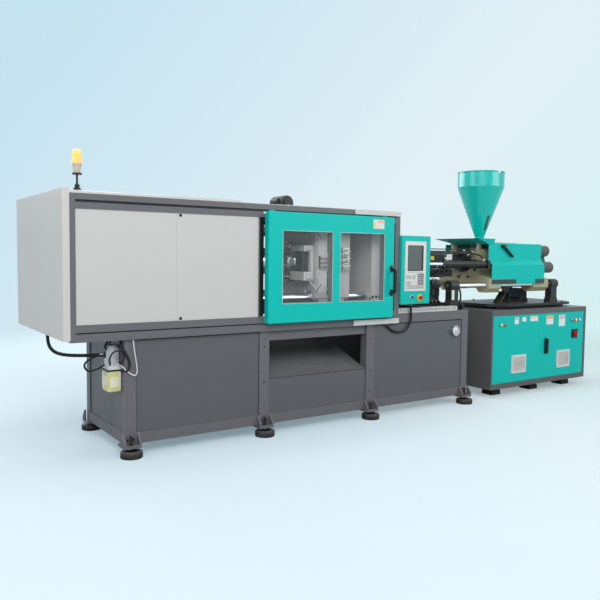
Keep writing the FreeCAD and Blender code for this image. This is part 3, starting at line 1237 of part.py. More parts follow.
def make_lube_unit():
    plate_x = (s.bed_left - s.lube_plate, s.bed_left)
    tank = new_body("lube_tank_body")
    tank_x = (plate_x[0] - s.lube_tank_width, plate_x[0])
    pad(tank, "XY", s.lube_tank_low, s.lube_tank_high, lambda sketch: rectangle(
        sketch, (tank_x[0], s.lube_tank_front), (tank_x[1], s.lube_tank_back)))
    soften(tank, "Fillet", s.lube_round, (0, 0, 1))
    node("lube_tank", tank)
    lip = s.lube_head_lip
    head = block("lube_head", tank_x, (s.lube_tank_front - lip, s.lube_tank_back + lip),
                 (s.lube_tank_high, s.lube_head_high))
    x = (tank_x[0] + tank_x[1]) / 2
    y = (s.lube_tank_front + s.lube_tank_back) / 2
    motor = rod("lube_can", "Z", (x, y, s.lube_head_high), s.lube_motor_radius,
                s.lube_motor_high - s.lube_head_high)
    way = conduit_route[-1] - conduit_route[-2]
    elbow = gland_on("lube_gland", conduit_route[-1], way, s.conduit_gland,
                     s.lube_motor_radius * 1.05)
    node("lube_motor", fuse("lube_motor_solid", [head, motor, elbow]))


def make_cords():
    node("operator_panel_cable", cord("panel_cord", cable_route, s.cable_radius.value))
    node("end_conduit", cord("end_cord", conduit_route, s.conduit_radius.value))


def make_gauge_and_duct():
    sheet_front = s.bed_front + s.high_beam_inset - s.bed_sheet
    body = rod("gauge_case", "Y", (s.gauge_x, sheet_front - s.gauge_depth, s.gauge_z),
               s.gauge_radius, s.gauge_depth)
    recess = rod("gauge_recess", "Y", (s.gauge_x, sheet_front - s.gauge_depth, s.gauge_z),
                 s.gauge_radius * 0.88, s.gauge_depth * 0.3)
    node("pressure_gauge", cut("gauge_solid", body, [recess]))

    y = (s.duct_front, s.duct_front + s.duct_width)
    z = (s.rail_deck, s.rail_deck + s.duct_height)
    duct = new_body("duct_body")
    wall = s.duct_wall
    pad(duct, "YZ", s.duct_left, s.duct_right, lambda sketch: polygon(sketch, [
        (y[0], z[0]), (y[1], z[0]), (y[1], z[1]), (y[1] - wall, z[1]),
        (y[1] - wall, z[0] + wall), (y[0] + wall, z[0] + wall), (y[0] + wall, z[1]),
        (y[0], z[1])]))

    count = int((s.duct_right.value - s.duct_left.value) / s.duct_pitch.value) - 1
    slots = []
    for step in range(count):
        left = s.duct_left + s.duct_pitch * (step + 1)
        slots.append(block("duct_slot_room", (left, left + s.duct_slot), y,
                           (z[0] + s.duct_height * 0.3, z[1] - s.duct_height * 0.12)))
    lid = block("duct_cover", (s.duct_left, s.duct_right), y, (z[1], z[1] + wall))
    node("wiring_duct", fuse("wiring_duct_solid", [cut("duct_slotted", duct, slots), lid]))


# --------------------------------------------------------------------- cabinet

def make_cabinet():
    body = new_body("cabinet_shell")
    pad(body, "XZ", as_size(0), s.cabinet_back, lambda sketch: rectangle(
        sketch, (s.cabinet_left, s.cabinet_bottom), (s.cabinet_right, s.cabinet_top)))
    pocket(body, "XZ", as_size(0), s.leaf_depth + s.leaf_gap, lambda sketch: rectangle(
        sketch, (s.leaf_left, s.leaf_low), (s.leaf_right, s.leaf_high)))
    lip = s.cabinet_lip
    pocket(body, "XZ", s.leaf_depth, s.cabinet_back - s.cabinet_wall,
           lambda sketch: rectangle(sketch, (s.leaf_left + lip, s.leaf_low + lip),
                                    (s.leaf_right - lip, s.leaf_high - lip)))
    hinge_y = s.hinge_inset
    hinge_x = [s.leaf_left + s.leaf_gap + s.hinge_inset,
               s.leaf_right - s.leaf_gap - s.hinge_inset]
    pins = []
    for x in hinge_x:
        pins.append(rod("hinge_pin", "Z", (x, hinge_y, s.leaf_low), s.hinge_pin,
                        s.hinge_pin_length))
        pins.append(rod("hinge_pin", "Z", (x, hinge_y, s.leaf_high - s.hinge_pin_length),
                        s.hinge_pin, s.hinge_pin_length))
    node("cabinet_body", fuse("cabinet_solid", [body] + pins))

    leaves = (("cabinet_door_left", s.leaf_left + s.leaf_gap, s.leaf_split - s.leaf_gap / 2,
               hinge_x[0]),
              ("cabinet_door_right", s.leaf_split + s.leaf_gap / 2,
               s.leaf_right - s.leaf_gap, hinge_x[1]))
    low, high = s.leaf_low + s.leaf_gap, s.leaf_high - s.leaf_gap
    for name, left, right, pin_x in leaves:
        leaf = new_body(name + "_leaf")
        pad(leaf, "XZ", as_size(0), s.leaf_depth, lambda sketch: rectangle(
            sketch, (left, low), (right, high)))
        soften(leaf, "Fillet", s.leaf_round, (0, 0, 1),
               lambda middle: abs(middle.x - pin_x.value) < s.hinge_inset.value + 1)
        stile = s.hinge_inset * 3
        pocket(leaf, "XZ", s.leaf_skin, s.leaf_depth, lambda sketch: rectangle(
            sketch, (left + stile, low + stile), (right - stile, high - stile)))
        for z in ((s.leaf_low, s.leaf_low + s.hinge_pin_length + s.leaf_gap),
                  (s.leaf_high - s.hinge_pin_length - s.leaf_gap, s.leaf_high)):
            pocket(leaf, "XY", z[0], z[1],
                   lambda sketch: circle(sketch, (pin_x, hinge_y), s.hinge_pin + s.running))
        node(name, leaf)


def make_cabinet_fittings():
    x = s.latch_x
    half = s.latch_width / 2
    plate = block("latch_back", (x - half, x + half), (-s.latch_base, as_size(0)),
                  (s.latch_high - s.latch_width * 2, s.latch_high))
    hub = rod("latch_hub", "Y", (x, -s.latch_base - s.latch_out * 0.5,
                                 s.latch_high - s.latch_width), half, s.latch_out * 0.5)
    grip = block("latch_grip", (x - half * 0.8, x + half * 0.8),
                 (-s.latch_base - s.latch_out, -s.latch_base - s.latch_out * 0.4),
                 (s.latch_low, s.latch_high))
    node("latch_handle", fuse("latch_solid", [hub, grip]))

    switch = block("switch_back", (s.switch_left, s.switch_left + s.switch_width),
                   (-s.switch_plate, as_size(0)),
                   (s.switch_low, s.switch_low + s.switch_height))
    centre = (s.switch_left + s.switch_width / 2, s.switch_low + s.switch_height / 2)
    drum = rod("switch_drum", "Y", (centre[0], -s.switch_plate - s.switch_knob * 0.5,
                                    centre[1]), s.switch_knob, s.switch_knob * 0.5)
    bar = block("switch_bar", (centre[0] - s.switch_knob * 0.25,
                               centre[0] + s.switch_knob * 0.25),
                (-s.switch_plate - s.switch_knob, -s.switch_plate - s.switch_knob * 0.5),
                (centre[1] - s.switch_knob * 0.95, centre[1] + s.switch_knob * 0.95))
    node("main_switch_knob", fuse("switch_knob_solid", [drum, bar]))

    lamps = {"left": (s.pilot_left_one, s.pilot_left_two),
             "right": (s.pilot_right_one, s.pilot_right_two, s.pilot_right_three)}
    louvres = {"left": s.louvre_left_one, "right": s.louvre_left_two}
    for side in ("left", "right"):
        pieces = [pilot_lamp(place) for place in lamps[side]]
        pieces.append(louvre(louvres[side]))
        if side == "right":
            pieces += [plate, switch]
        node(side + "_door_fittings", group(side + "_fitting_set", pieces))


def pilot_lamp(place):
    ring = rod("pilot_ring", "Y", (place, -s.pilot_out * 0.4, s.pilot_z),
               s.pilot_ring, s.pilot_out * 0.4)
    lens = rod("pilot_lens", "Y", (place, -s.pilot_out, s.pilot_z),
               s.pilot_radius, s.pilot_out * 0.6)
    return fuse("pilot", [ring, lens])


def louvre(left):
    """A filter grille: a frame with level slats before the door."""
    x = (left, left + s.louvre_width)
    z = (s.louvre_low, s.louvre_low + s.louvre_height)
    frame = s.louvre_frame
    grille = new_body("louvre")
    pad(grille, "XZ", -s.louvre_out, as_size(0), lambda sketch: rectangle(
        sketch, (x[0], z[0]), (x[1], z[1])))
    count = int((s.louvre_height.value - 2 * frame.value) / s.louvre_pitch.value)

    def draw_gaps(sketch):
        for step in range(count):
            low = z[0] + frame + s.louvre_pitch * step
            rectangle(sketch, (x[0] + frame, low + s.louvre_pitch * 0.3),
                      (x[1] - frame, low + s.louvre_pitch))
    pocket(grille, "XZ", -s.louvre_out, -s.louvre_out * 0.25, draw_gaps)
    return grille


def make_cabinet_inside():
    inner = s.cabinet_back - s.cabinet_wall
    board_y = (inner - s.board_sheet, inner)
    rows = [block("board", (s.board_left, s.board_right), board_y,
                  (s.board_low, s.board_high))]
    for step in range(3):
        z = s.board_low + s.row_gap * (step + 0.35) * 1.4
        for part in range(4):
            x = s.board_left + (s.board_right - s.board_left) * (0.06 + 0.235 * part)
            rows.append(block("unit", (x, x + (s.board_right - s.board_left) * 0.18),
                              (board_y[0] - s.row_depth, board_y[0]),
                              (z, z + s.row_height)))
    board = fuse("board_solid", rows)
    floor = s.leaf_low + s.cabinet_lip
    tank = block("tank", (s.tank_left, s.tank_right), (s.tank_front, inner),
                 (floor, s.tank_top))
    middle_y = (s.tank_front + inner) / 2
    pump = rod("pump_can", "X", (s.tank_left + s.pump_radius, middle_y,
                                 s.tank_top + s.pump_radius), s.pump_radius, s.pump_length)
    node("cabinet_equipment", group("equipment_set", [
        board, fuse("power_unit_solid", [tank, pump])]))

    mounts = []
    for x in (s.wedge_one, s.wedge_two, s.wedge_three):
        for y in (s.wedge_front_y, s.wedge_back_y):
            wedge = new_body("wedge")
            half = s.wedge_half
            step = s.cabinet_bottom / 3
            pad(wedge, "XZ", y - half, y + half, lambda sketch: polygon(sketch, [
                (x - half, 0), (x + half, 0), (x + half, step), (x + half * 0.8, step * 2),
                (x + half * 0.8, s.cabinet_bottom), (x - half * 0.8, s.cabinet_bottom),
                (x - half * 0.8, step * 2), (x - half, step)]))
            mounts.append(wedge)
    node("wedge_mounts", group("wedge_set", mounts))


# ------------------------------------------------ injection base and guide rods

def make_injection_base():
    corner = s.base_corner
    plate = new_body("base_plate")
    pad(plate, "XY", s.rail_deck, s.rail_top, lambda sketch: polygon(sketch, [
        (s.base_left + corner, s.base_front), (s.base_right - corner, s.base_front),
        (s.base_right, s.base_front + corner), (s.base_right, s.base_back),
        (s.base_left, s.base_back), (s.base_left, s.base_front + corner)]))
    inset = s.base_pad_inset
    foot = block("base_foot", (s.base_left + inset, s.base_right - inset),
                 (s.base_front + inset, s.base_back - inset), (s.cabinet_top, s.rail_deck))
    rails = [block("rail_bar", (s.rail_left, s.bed_right - s.end_beam),
                   (y - s.rail_half, y + s.rail_half), (s.rail_deck, s.rail_top))
             for y in rod_y]
    rails.append(block("end_beam", (s.bed_right - s.end_beam, s.bed_right),
                       (s.end_beam_front, s.end_beam_back),
                       (s.rail_deck, s.rail_deck + s.end_beam_height)))
    stands = []
    foot_top = s.rail_top + s.stand_foot
    for left in (s.stand_one, s.stand_two):
        for y in rod_y:
            x = (left, left + s.stand_width)
            out = (x[0] - s.stand_flare, x[1] + s.stand_flare)
            inner = (left + s.stand_width * 0.06, left + s.stand_width * 0.94)
            stand = new_body("stand")
            pad(stand, "XZ", y - s.stand_leg / 2, y + s.stand_leg / 2,
                lambda sketch: polygon(sketch, [
                    (out[0], s.rail_top), (out[1], s.rail_top), (out[1], foot_top),
                    (inner[1], foot_top + s.stand_foot * 1.6), (inner[1], s.rod_z),
                    (inner[0], s.rod_z), (inner[0], foot_top + s.stand_foot * 1.6),
                    (out[0], foot_top)]))
            pad(stand, "YZ", x[0], x[1],
                lambda sketch: circle(sketch, (y, s.rod_z), s.stand_boss))
            pocket(stand, "YZ", x[0], x[1],
                   lambda sketch: circle(sketch, (y, s.rod_z), s.rod_radius + s.running))
            stands.append(stand)
    node("rod_stands", group("stand_set", stands))
    node("guide_rods", group("guide_rod_set", [
        rod("guide_rod", "X", (s.stand_one, y, s.rod_z), s.rod_radius,
            s.stand_two + s.stand_width - s.stand_one) for y in rod_y]))
    pedestal = new_body("pedestal")
    x = s.pedestal_left + s.pedestal_width / 2
    wide, slim = s.pedestal_width / 2, s.pedestal_width * 0.36
    pad(pedestal, "XZ", s.pedestal_y - wide, s.pedestal_y + wide,
        lambda sketch: polygon(sketch, [
            (x - wide, s.rail_top), (x + wide, s.rail_top), (x + wide, foot_top),
            (x + slim, foot_top + s.stand_foot), (x + slim, s.pedestal_top),
            (x - slim, s.pedestal_top), (x - slim, foot_top + s.stand_foot),
            (x - wide, foot_top)]))
    node("injection_base", group("injection_base_set", rails + [
        fuse("base_solid", [plate, foot, pedestal])]))


# ------------------------------------------------------------ injection carriage

def housing_outline(low, shoulder, neck, top, wide, slim):
    """Casting seen along the machine: arched feet on the rods, a narrower head."""
    bevel, arch = s.foot_bevel, s.foot_arch_half
    crown = s.rod_z - s.foot_arch_drop
    return [(s.axis_y - wide + bevel, low), (s.axis_y - arch, low),
            (s.axis_y - arch + bevel, crown), (s.axis_y + arch - bevel, crown),
            (s.axis_y + arch, low), (s.axis_y + wide - bevel, low),
            (s.axis_y + wide, low + bevel), (s.axis_y + wide, shoulder),
            (s.axis_y + slim, neck), (s.axis_y + slim, top), (s.axis_y - slim, top),
            (s.axis_y - slim, neck), (s.axis_y - wide, shoulder),
            (s.axis_y - wide, low + bevel)]


def rod_holes(sketch):
    for y in rod_y:
        circle(sketch, (y, s.rod_z), s.rod_radius + s.running)


def shot_holes(sketch):
    for y in (s.axis_y - s.shot_spread, s.axis_y + s.shot_spread):
        circle(sketch, (y, s.axis_z), s.shot_rod + s.running)


def make_front_housing():
    body = new_body("front_casting")
    wide = s.cover_half - s.cover_sheet - s.housing_play
    pad(body, "YZ", s.housing_left, s.housing_right, lambda sketch: polygon(
        sketch, housing_outline(s.housing_low, s.housing_shoulder, s.housing_neck,
                                s.housing_top, wide, s.housing_half)))
    foot_end = s.housing_left + s.housing_foot

    def behind_feet(sketch):
        for sign in (-1, 1):
            edges = (s.axis_y + wide * sign, s.axis_y + s.housing_half * sign)
            low_y, high_y = edges if sign < 0 else edges[::-1]
            rectangle(sketch, (low_y, s.housing_low), (high_y, s.housing_neck))
    pocket(body, "YZ", foot_end, s.housing_right, behind_feet)
    pocket(body, "YZ", s.housing_left, foot_end, rod_holes)
    pocket(body, "YZ", s.housing_left, s.housing_right, lambda sketch: circle(
        sketch, (s.axis_y, s.axis_z), s.barrel_radius + s.running))
    pocket(body, "YZ", s.housing_right - s.shot_stroke - s.shot_rod * 1.5, s.housing_right,
           shot_holes)
    throat = s.throat_radius
    pocket(body, "XY", s.axis_z, s.housing_top, lambda sketch: circle(
        sketch, (s.hopper_x, s.axis_y), throat))
    neck = new_body("throat_block")
    half = s.throat_half
    pad(neck, "XY", s.housing_top, s.throat_top, lambda sketch: rectangle(
        sketch, (s.hopper_x - half, s.axis_y - half), (s.hopper_x + half, s.axis_y + half)))
    pocket(neck, "XY", s.housing_top, s.throat_top, lambda sketch: circle(
        sketch, (s.hopper_x, s.axis_y), throat))

    brackets = [
        block("tray_bracket", (s.tray_bottom_left, s.tray_bottom_left + s.bracket_width),
              (y - s.bracket_width / 2, y + s.bracket_width / 2),
              (s.housing_top, s.notch_low))
        for y in (s.axis_y - s.bracket_spread, s.axis_y + s.bracket_spread)]
    gate_y = s.axis_y - s.cover_upper_half + s.gate_height
    gate = block("gate_plate", (s.gate_left, s.gate_right), (gate_y, gate_y + s.gate_width),
                 (s.cover_top, s.cover_top + s.gate_height))
    node("injection_housing", group("housing_set", [
        fuse("housing_solid", [body, neck] + brackets), gate]))


def make_barrel():
    at = (s.axis_y, s.axis_z)
    tube = rod("barrel_tube", "X", (s.barrel_left, *at), s.barrel_radius,
               s.housing_right - s.barrel_left)
    wall = s.barrel_radius * 0.5
    bore = rod("barrel_bore", "X", (s.barrel_left + wall, *at),
               s.screw_radius + s.running, s.housing_right - s.barrel_left - wall)
    feed = rod("feed_hole", "Z", (s.hopper_x, s.axis_y, s.axis_z), s.screw_radius,
               s.barrel_radius * 1.5)
    node("barrel", cut("barrel_solid", tube, [bore, feed]))
    shoulder = s.barrel_left - s.nozzle_radius
    node("nozzle", fuse("nozzle_solid", [
        rod("nozzle_body", "X", (shoulder, *at), s.nozzle_radius, s.nozzle_radius),
        cone("nozzle_cone", "X", (s.nozzle_tip, *at), s.tip_radius, s.nozzle_radius * 0.8,
             shoulder - s.nozzle_tip)]))
    bands = []
    for step in range(SIZES["band_count"]):
        left = s.barrel_left + s.band_gap * (step + 0.5) + s.band_width * step
        ring = rod("band", "X", (left, *at), s.band_radius, s.band_width)
        hole = rod("band_hole", "X", (left, *at), s.barrel_radius + s.running, s.band_width)
        lug = block("band_lug", (left + s.band_width * 0.3, left + s.band_width * 0.7),
                    (s.axis_y - s.band_gap * 0.3, s.axis_y + s.band_gap * 0.3),
                    (s.axis_z - s.band_radius - s.band_gap * 0.4,
                     s.axis_z - s.barrel_radius - s.band_gap * 0.05))
        bands.append(cut("band_set", fuse("band_blank", [ring, lug]), [hole]))
    node("heater_bands", group("heater_band_set", bands))

    hood = new_body("hood")
    half, thick = s.hood_half, s.hood_sheet
    low, top = s.axis_z - s.hood_low, s.axis_z + s.hood_top
    bevel = s.hood_half * 0.35
    pad(hood, "YZ", s.hood_left, s.housing_left - s.seat_bar, lambda sketch: polygon(sketch, [
        (s.axis_y - half, low), (s.axis_y - half, top - bevel),
        (s.axis_y - half + bevel, top), (s.axis_y + half - bevel, top),
        (s.axis_y + half, top - bevel), (s.axis_y + half, low),
        (s.axis_y + half - thick, low), (s.axis_y + half - thick, top - bevel - thick / 2),
        (s.axis_y + half - bevel - thick / 2, top - thick),
        (s.axis_y - half + bevel + thick / 2, top - thick),
        (s.axis_y - half + thick, top - bevel - thick / 2),
        (s.axis_y - half + thick, low)]))
    node("barrel_hood", hood)

    screw_left = s.barrel_left + s.barrel_radius * 0.5 + s.shot_stroke + s.leaf_gap
    node("screw", rod("screw_bar", "X", (screw_left, *at), s.screw_radius,
                      s.rear_right - screw_left))


def make_seat_cylinders():
    tubes, rods = [], []
    for y in (s.axis_y - s.seat_spread, s.axis_y + s.seat_spread):
        at = (y, s.seat_z)
        end = s.housing_left - s.seat_bar
        head = rod("seat_head", "X", (s.seat_head_left, *at), s.seat_head_radius,
                   s.seat_head_width)
        tube = rod("seat_tube", "X", (s.seat_head_left, *at), s.seat_radius,
                   end - s.seat_head_left)
        gland = rod("seat_gland", "X", (s.seat_head_left, *at), s.seat_rod + s.running,
                    s.seat_head_width)
        room = s.seat_head_left + s.seat_head_width / 2
        bore = rod("seat_room", "X", (room, *at), s.seat_bore,
                   end - s.seat_head_width / 3 - room)
        tubes.append(cut("seat_cylinder", fuse("seat_blank", [head, tube]), [gland, bore]))
        bar = rod("seat_rod_bar", "X", (s.fixed_right, *at), s.seat_rod,
                  s.seat_piston_left + s.seat_piston - s.fixed_right)
        piston = rod("seat_piston_disc", "X", (s.seat_piston_left, *at),
                     s.seat_bore - s.running, s.seat_piston)
        rods.append(fuse("seat_rod_solid", [bar, piston]))
    for y in (s.axis_y - s.shot_spread, s.axis_y + s.shot_spread):
        at = (y, s.axis_z)
        tube = rod("shot_tube", "X", (s.housing_right, *at), s.shot_radius, s.shot_length)
        hole = rod("shot_bore", "X", (s.housing_right, *at), s.shot_rod + s.running,
                   s.shot_length)
        tubes.append(cut("shot_cylinder", tube, [hole]))
    bar_x = (s.housing_left - s.seat_bar, s.housing_left)
    reach = s.seat_spread + s.seat_bar_half
    bar = block("seat_bar_flat", bar_x, (s.axis_y - reach, s.axis_y + reach),
                (s.seat_z - s.seat_bar_half, s.seat_z + s.seat_bar_half))
    disc = rod("seat_disc", "X", (bar_x[0], s.axis_y, s.axis_z), s.barrel_radius * 1.8,
               s.seat_bar)
    seat_bar = cut("seat_bar_solid", fuse("seat_bar_blank", [bar, disc]), [
        rod("seat_bar_hole", "X", (bar_x[0], s.axis_y, s.axis_z),
            s.barrel_radius + s.running, s.seat_bar)])
    guide_bar = rod("guide_bar", "X", (s.guide_bar_left, s.guide_bar_y,
                                       s.housing_top - s.guide_bar_radius * 2),
                    s.guide_bar_radius, s.housing_left - s.guide_bar_left)
    node("carriage_cylinders", group("cylinder_set", tubes + [
        seat_bar, guide_bar, cover_lever()]))
    node("seat_rods", group("seat_rod_set", rods))


def make_cover():
    body = new_body("cover_shell")
    wide, slim, thick = s.cover_half, s.cover_upper_half, s.cover_sheet
    y0 = s.axis_y

    def side(sign):
        return [(y0 + wide * sign, s.cover_low), (y0 + wide * sign, s.cover_belt),
                (y0 + slim * sign, s.cover_slant), (y0 + slim * sign, s.cover_top)]

    def inside(sign):
        return [(y0 + (slim - thick) * sign, s.cover_top - thick),
                (y0 + (slim - thick) * sign, s.cover_slant),
                (y0 + (wide - thick) * sign, s.cover_belt),
                (y0 + (wide - thick) * sign, s.cover_low)]
    pad(body, "YZ", s.cover_left, s.cover_right, lambda sketch: polygon(
        sketch, side(-1) + side(1)[::-1] + inside(1)[::-1] + inside(-1)))
    pocket(body, "YZ", s.cover_left, s.cover_notch, lambda sketch: rectangle(
        sketch, (y0 - wide, s.notch_low), (y0 + wide, s.cover_top + 1)))
    hole = s.throat_half + s.leaf_gap
    pocket(body, "XY", s.cover_slant, s.cover_top, lambda sketch: rectangle(
        sketch, (s.hopper_x - hole, y0 - hole), (s.hopper_x + hole, y0 + hole)))

    tray = new_body("tray_pan")
    low = s.notch_low + s.housing_play
    right = s.cover_notch - s.housing_play

    def ring(offset, height, left, half, back):
        sketch = new_sketch(tray, "XY", height)
        rectangle(sketch, (left + offset, y0 - half + offset), (right - offset, back - offset))
        return sketch
    thick = s.tray_sheet
    outer = [ring(as_size(0), low, s.tray_bottom_left, s.cover_upper_half, s.tray_low_back),
             ring(as_size(0), s.tray_high, s.tray_left, s.tray_half, s.tray_high_back)]
    loft = tray.newObject("PartDesign::AdditiveLoft", "tray_outside")
    loft.Profile = outer[0]
    loft.Sections = [outer[1]]
    loft.Ruled = True
    inner = [ring(thick, low + thick, s.tray_bottom_left, s.cover_upper_half,
                  s.tray_low_back),
             ring(thick, s.tray_high + thick, s.tray_left, s.tray_half, s.tray_high_back)]
    hollow = tray.newObject("PartDesign::SubtractiveLoft", "tray_inside")
    hollow.Profile = inner[0]
    hollow.Sections = [inner[1]]
    hollow.Ruled = True
    node("hopper_tray", tray)

    node("injection_cover", body)


def cover_lever():
    """The gate lever on the cover's front: a boss and a slanting handle."""
    face = s.axis_y - s.cover_upper_half
    grip = doc.addObject("Part::Cylinder", "lever_grip")
    grip.Radius = s.lever_radius.value
    grip.Height = math.hypot(s.lever_run.value, s.lever_drop.value)
    bind(grip, "Radius", s.lever_radius)
    grip.setExpression("Height", f"sqrt({s.lever_run.text}^2 + {s.lever_drop.text}^2)")
    tilt = math.degrees(math.atan2(s.lever_run.value, -s.lever_drop.value))
    put(grip, s.lever_x, face - s.lever_stem, s.lever_z,
        FreeCAD.Rotation(FreeCAD.Vector(0, 1, 0), tilt))
    boss = rod("lever_boss", "Y", (s.lever_x, face - s.lever_stem - s.lever_radius * 1.2,
                                   s.lever_z), s.lever_radius * 1.3,
               s.lever_stem + s.lever_radius * 1.2)
    return fuse("lever_solid", [grip, boss])


def make_hopper():
    body = new_body("hopper_shell")
    t = s.hopper_sheet
    slope = (s.hopper_radius - s.hopper_neck).value / (
        s.hopper_cone_high - s.hopper_cone_low).value
    turned(body, [
        (s.hopper_neck - t, s.throat_top), (s.hopper_flange, s.throat_top),
        (s.hopper_flange, s.throat_top + s.hopper_flange_height),
        (s.hopper_neck, s.throat_top + s.hopper_flange_height),
        (s.hopper_neck, s.hopper_cone_low), (s.hopper_radius, s.hopper_cone_high),
        (s.hopper_radius, s.hopper_top), (s.hopper_radius - t, s.hopper_top),
        (s.hopper_radius - t, s.hopper_cone_high + t * slope),
        (s.hopper_neck - t, s.hopper_cone_low + t * slope)], s.hopper_x, s.axis_y)

    lid = rod("lid_disc", "Z", (s.hopper_x, s.axis_y, s.hopper_top), s.hopper_radius + t,
              s.lid_sheet)
    knuckle_y = s.axis_y + s.hopper_radius + s.lid_hinge_out
    ear = block("lid_ear", (s.hopper_x - s.lid_hinge_half, s.hopper_x + s.lid_hinge_half),
                (s.axis_y + s.hopper_radius * 0.8, knuckle_y),
                (s.hopper_top, s.hopper_top + s.lid_sheet))
    knuckle_z = s.hopper_top + s.lid_sheet / 2
    barrel_piece = rod("lid_knuckle", "X", (s.hopper_x - s.lid_hinge_half, knuckle_y,
                                            knuckle_z), s.lid_hinge_radius,
                       s.lid_hinge_half * 2)
    pin_hole = rod("lid_pin_hole", "X", (s.hopper_x - s.lid_hinge_half, knuckle_y, knuckle_z),
                   s.lid_hinge_radius * 0.5 + s.running, s.lid_hinge_half * 2)
    node("hopper_lid", cut("hopper_lid_solid", fuse(
        "hopper_lid_blank", [lid, ear, barrel_piece]), [pin_hole]))
    ears = []
    for sign in (-1, 1):
        outer = s.hopper_x + (s.lid_hinge_half + s.lid_hinge_radius * 2) * sign
        inner = s.hopper_x + (s.lid_hinge_half + s.leaf_gap) * sign
        x = (outer, inner) if sign < 0 else (inner, outer)
        plate = block("lid_bracket", x, (s.axis_y + s.hopper_radius * 0.975, knuckle_y
                                         + s.lid_hinge_radius),
                      (s.hopper_top - s.lid_hinge_radius * 4, s.hopper_top - t / 3))
        cheek = block("lid_cheek", x, (knuckle_y - s.lid_hinge_radius,
                                       knuckle_y + s.lid_hinge_radius),
                      (s.hopper_top - t, knuckle_z + s.lid_hinge_radius))
        ears += [plate, cheek]
    pin = rod("lid_pin", "X", (s.hopper_x - s.lid_hinge_half - s.lid_hinge_radius,
                               knuckle_y, knuckle_z), s.lid_hinge_radius * 0.5,
              (s.lid_hinge_half + s.lid_hinge_radius) * 2)
    shell_room = rod("hopper_room", "Z", (s.hopper_x, s.axis_y, s.hopper_cone_high),
                     s.hopper_radius, s.hopper_top - s.hopper_cone_high)
    hinge = cut("hopper_hinge_solid", fuse("hopper_hinge_blank", ears + [pin]), [shell_room])
    node("hopper", fuse("hopper_solid", [body, hinge]))


def make_plasticizing():
    body = new_body("rear_casting")
    pad(body, "YZ", s.rear_left, s.rear_right, lambda sketch: polygon(
        sketch, housing_outline(s.rear_low, s.rear_shoulder, s.rear_neck, s.rear_top,
                                s.rear_wide, s.rear_half)))
    pocket(body, "YZ", s.rear_left, s.rear_right, rod_holes)
    pocket(body, "YZ", s.rear_left, s.rear_right, lambda sketch: circle(
        sketch, (s.axis_y, s.axis_z), s.screw_radius + s.running))
    left = s.housing_right - s.shot_rod
    rods = [rod("shot_rod_bar", "X", (left, y, s.axis_z), s.shot_rod, s.rear_left - left)
            for y in (s.axis_y - s.shot_spread, s.axis_y + s.shot_spread)]
    node("drive_housing", fuse("drive_housing_solid", [body] + rods))

    at = (s.axis_y, s.axis_z)
    neck = s.rear_right + s.motor_neck
    run = s.motor_length - s.motor_neck
    pieces = [rod("motor_core_drum", "X", (s.rear_right, *at), s.motor_core, s.motor_length),
              rod("motor_cap_drum", "X", (s.rear_right, *at), s.motor_cap,
                  s.motor_length + s.motor_cap_length)]
    for step in range(5):
        way = math.radians(36 + 72 * step)
        y = s.axis_y - s.lobe_reach * math.sin(way)
        z = s.axis_z + s.lobe_reach * math.cos(way)
        pieces.append(rod("lobe", "X", (neck, y, z), s.lobe_radius, run))
        half_y = s.axis_y - s.lobe_reach * math.sin(way) * 0.6
        half_z = s.axis_z + s.lobe_reach * math.cos(way) * 0.6
        pieces.append(rod("lobe_root", "X", (neck + run * 0.1, half_y, half_z),
                          s.lobe_radius * 0.8, run * 0.8))
    node("screw_motor", fuse("screw_motor_solid", pieces))


# ------------------------------------------------------------------------ build

make_bed()
make_feet()
make_guard()
make_door("front_door", -1)
make_door("rear_door", 1)
make_fixed_platen()
make_moving_platen()
make_tail_platen()
make_ties_and_ram()
make_ejector()
make_operator_panel()
make_signal_lamp()
make_roof_motor()
make_lube_unit()
make_cords()
make_gauge_and_duct()
make_cabinet()
make_cabinet_fittings()
make_cabinet_inside()
make_injection_base()
make_front_housing()
make_barrel()
make_seat_cylinders()
make_cover()
make_hopper()
make_plasticizing()
doc.recompute()

bad = []
for item in doc.Objects:
    if "Invalid" in item.State or "Error" in item.State:
        bad.append(f"{item.Label} in {[owner.Label for owner in item.InListRecursive]}")
if bad:
    raise RuntimeError("did not build: " + "; ".join(bad))
os.makedirs("parts", exist_ok=True)
for item in NODES:
    if item.Shape.isNull() or not item.Shape.isValid():
        raise RuntimeError(f"{item.Label} has no sound shape")
for item in NODES:
    item.Shape.exportStep(f"parts/{item.Label}.step")
print(len(NODES), "nodes")
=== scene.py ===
import json
import math

import bmesh
import bpy
from mathutils import Matrix, Vector


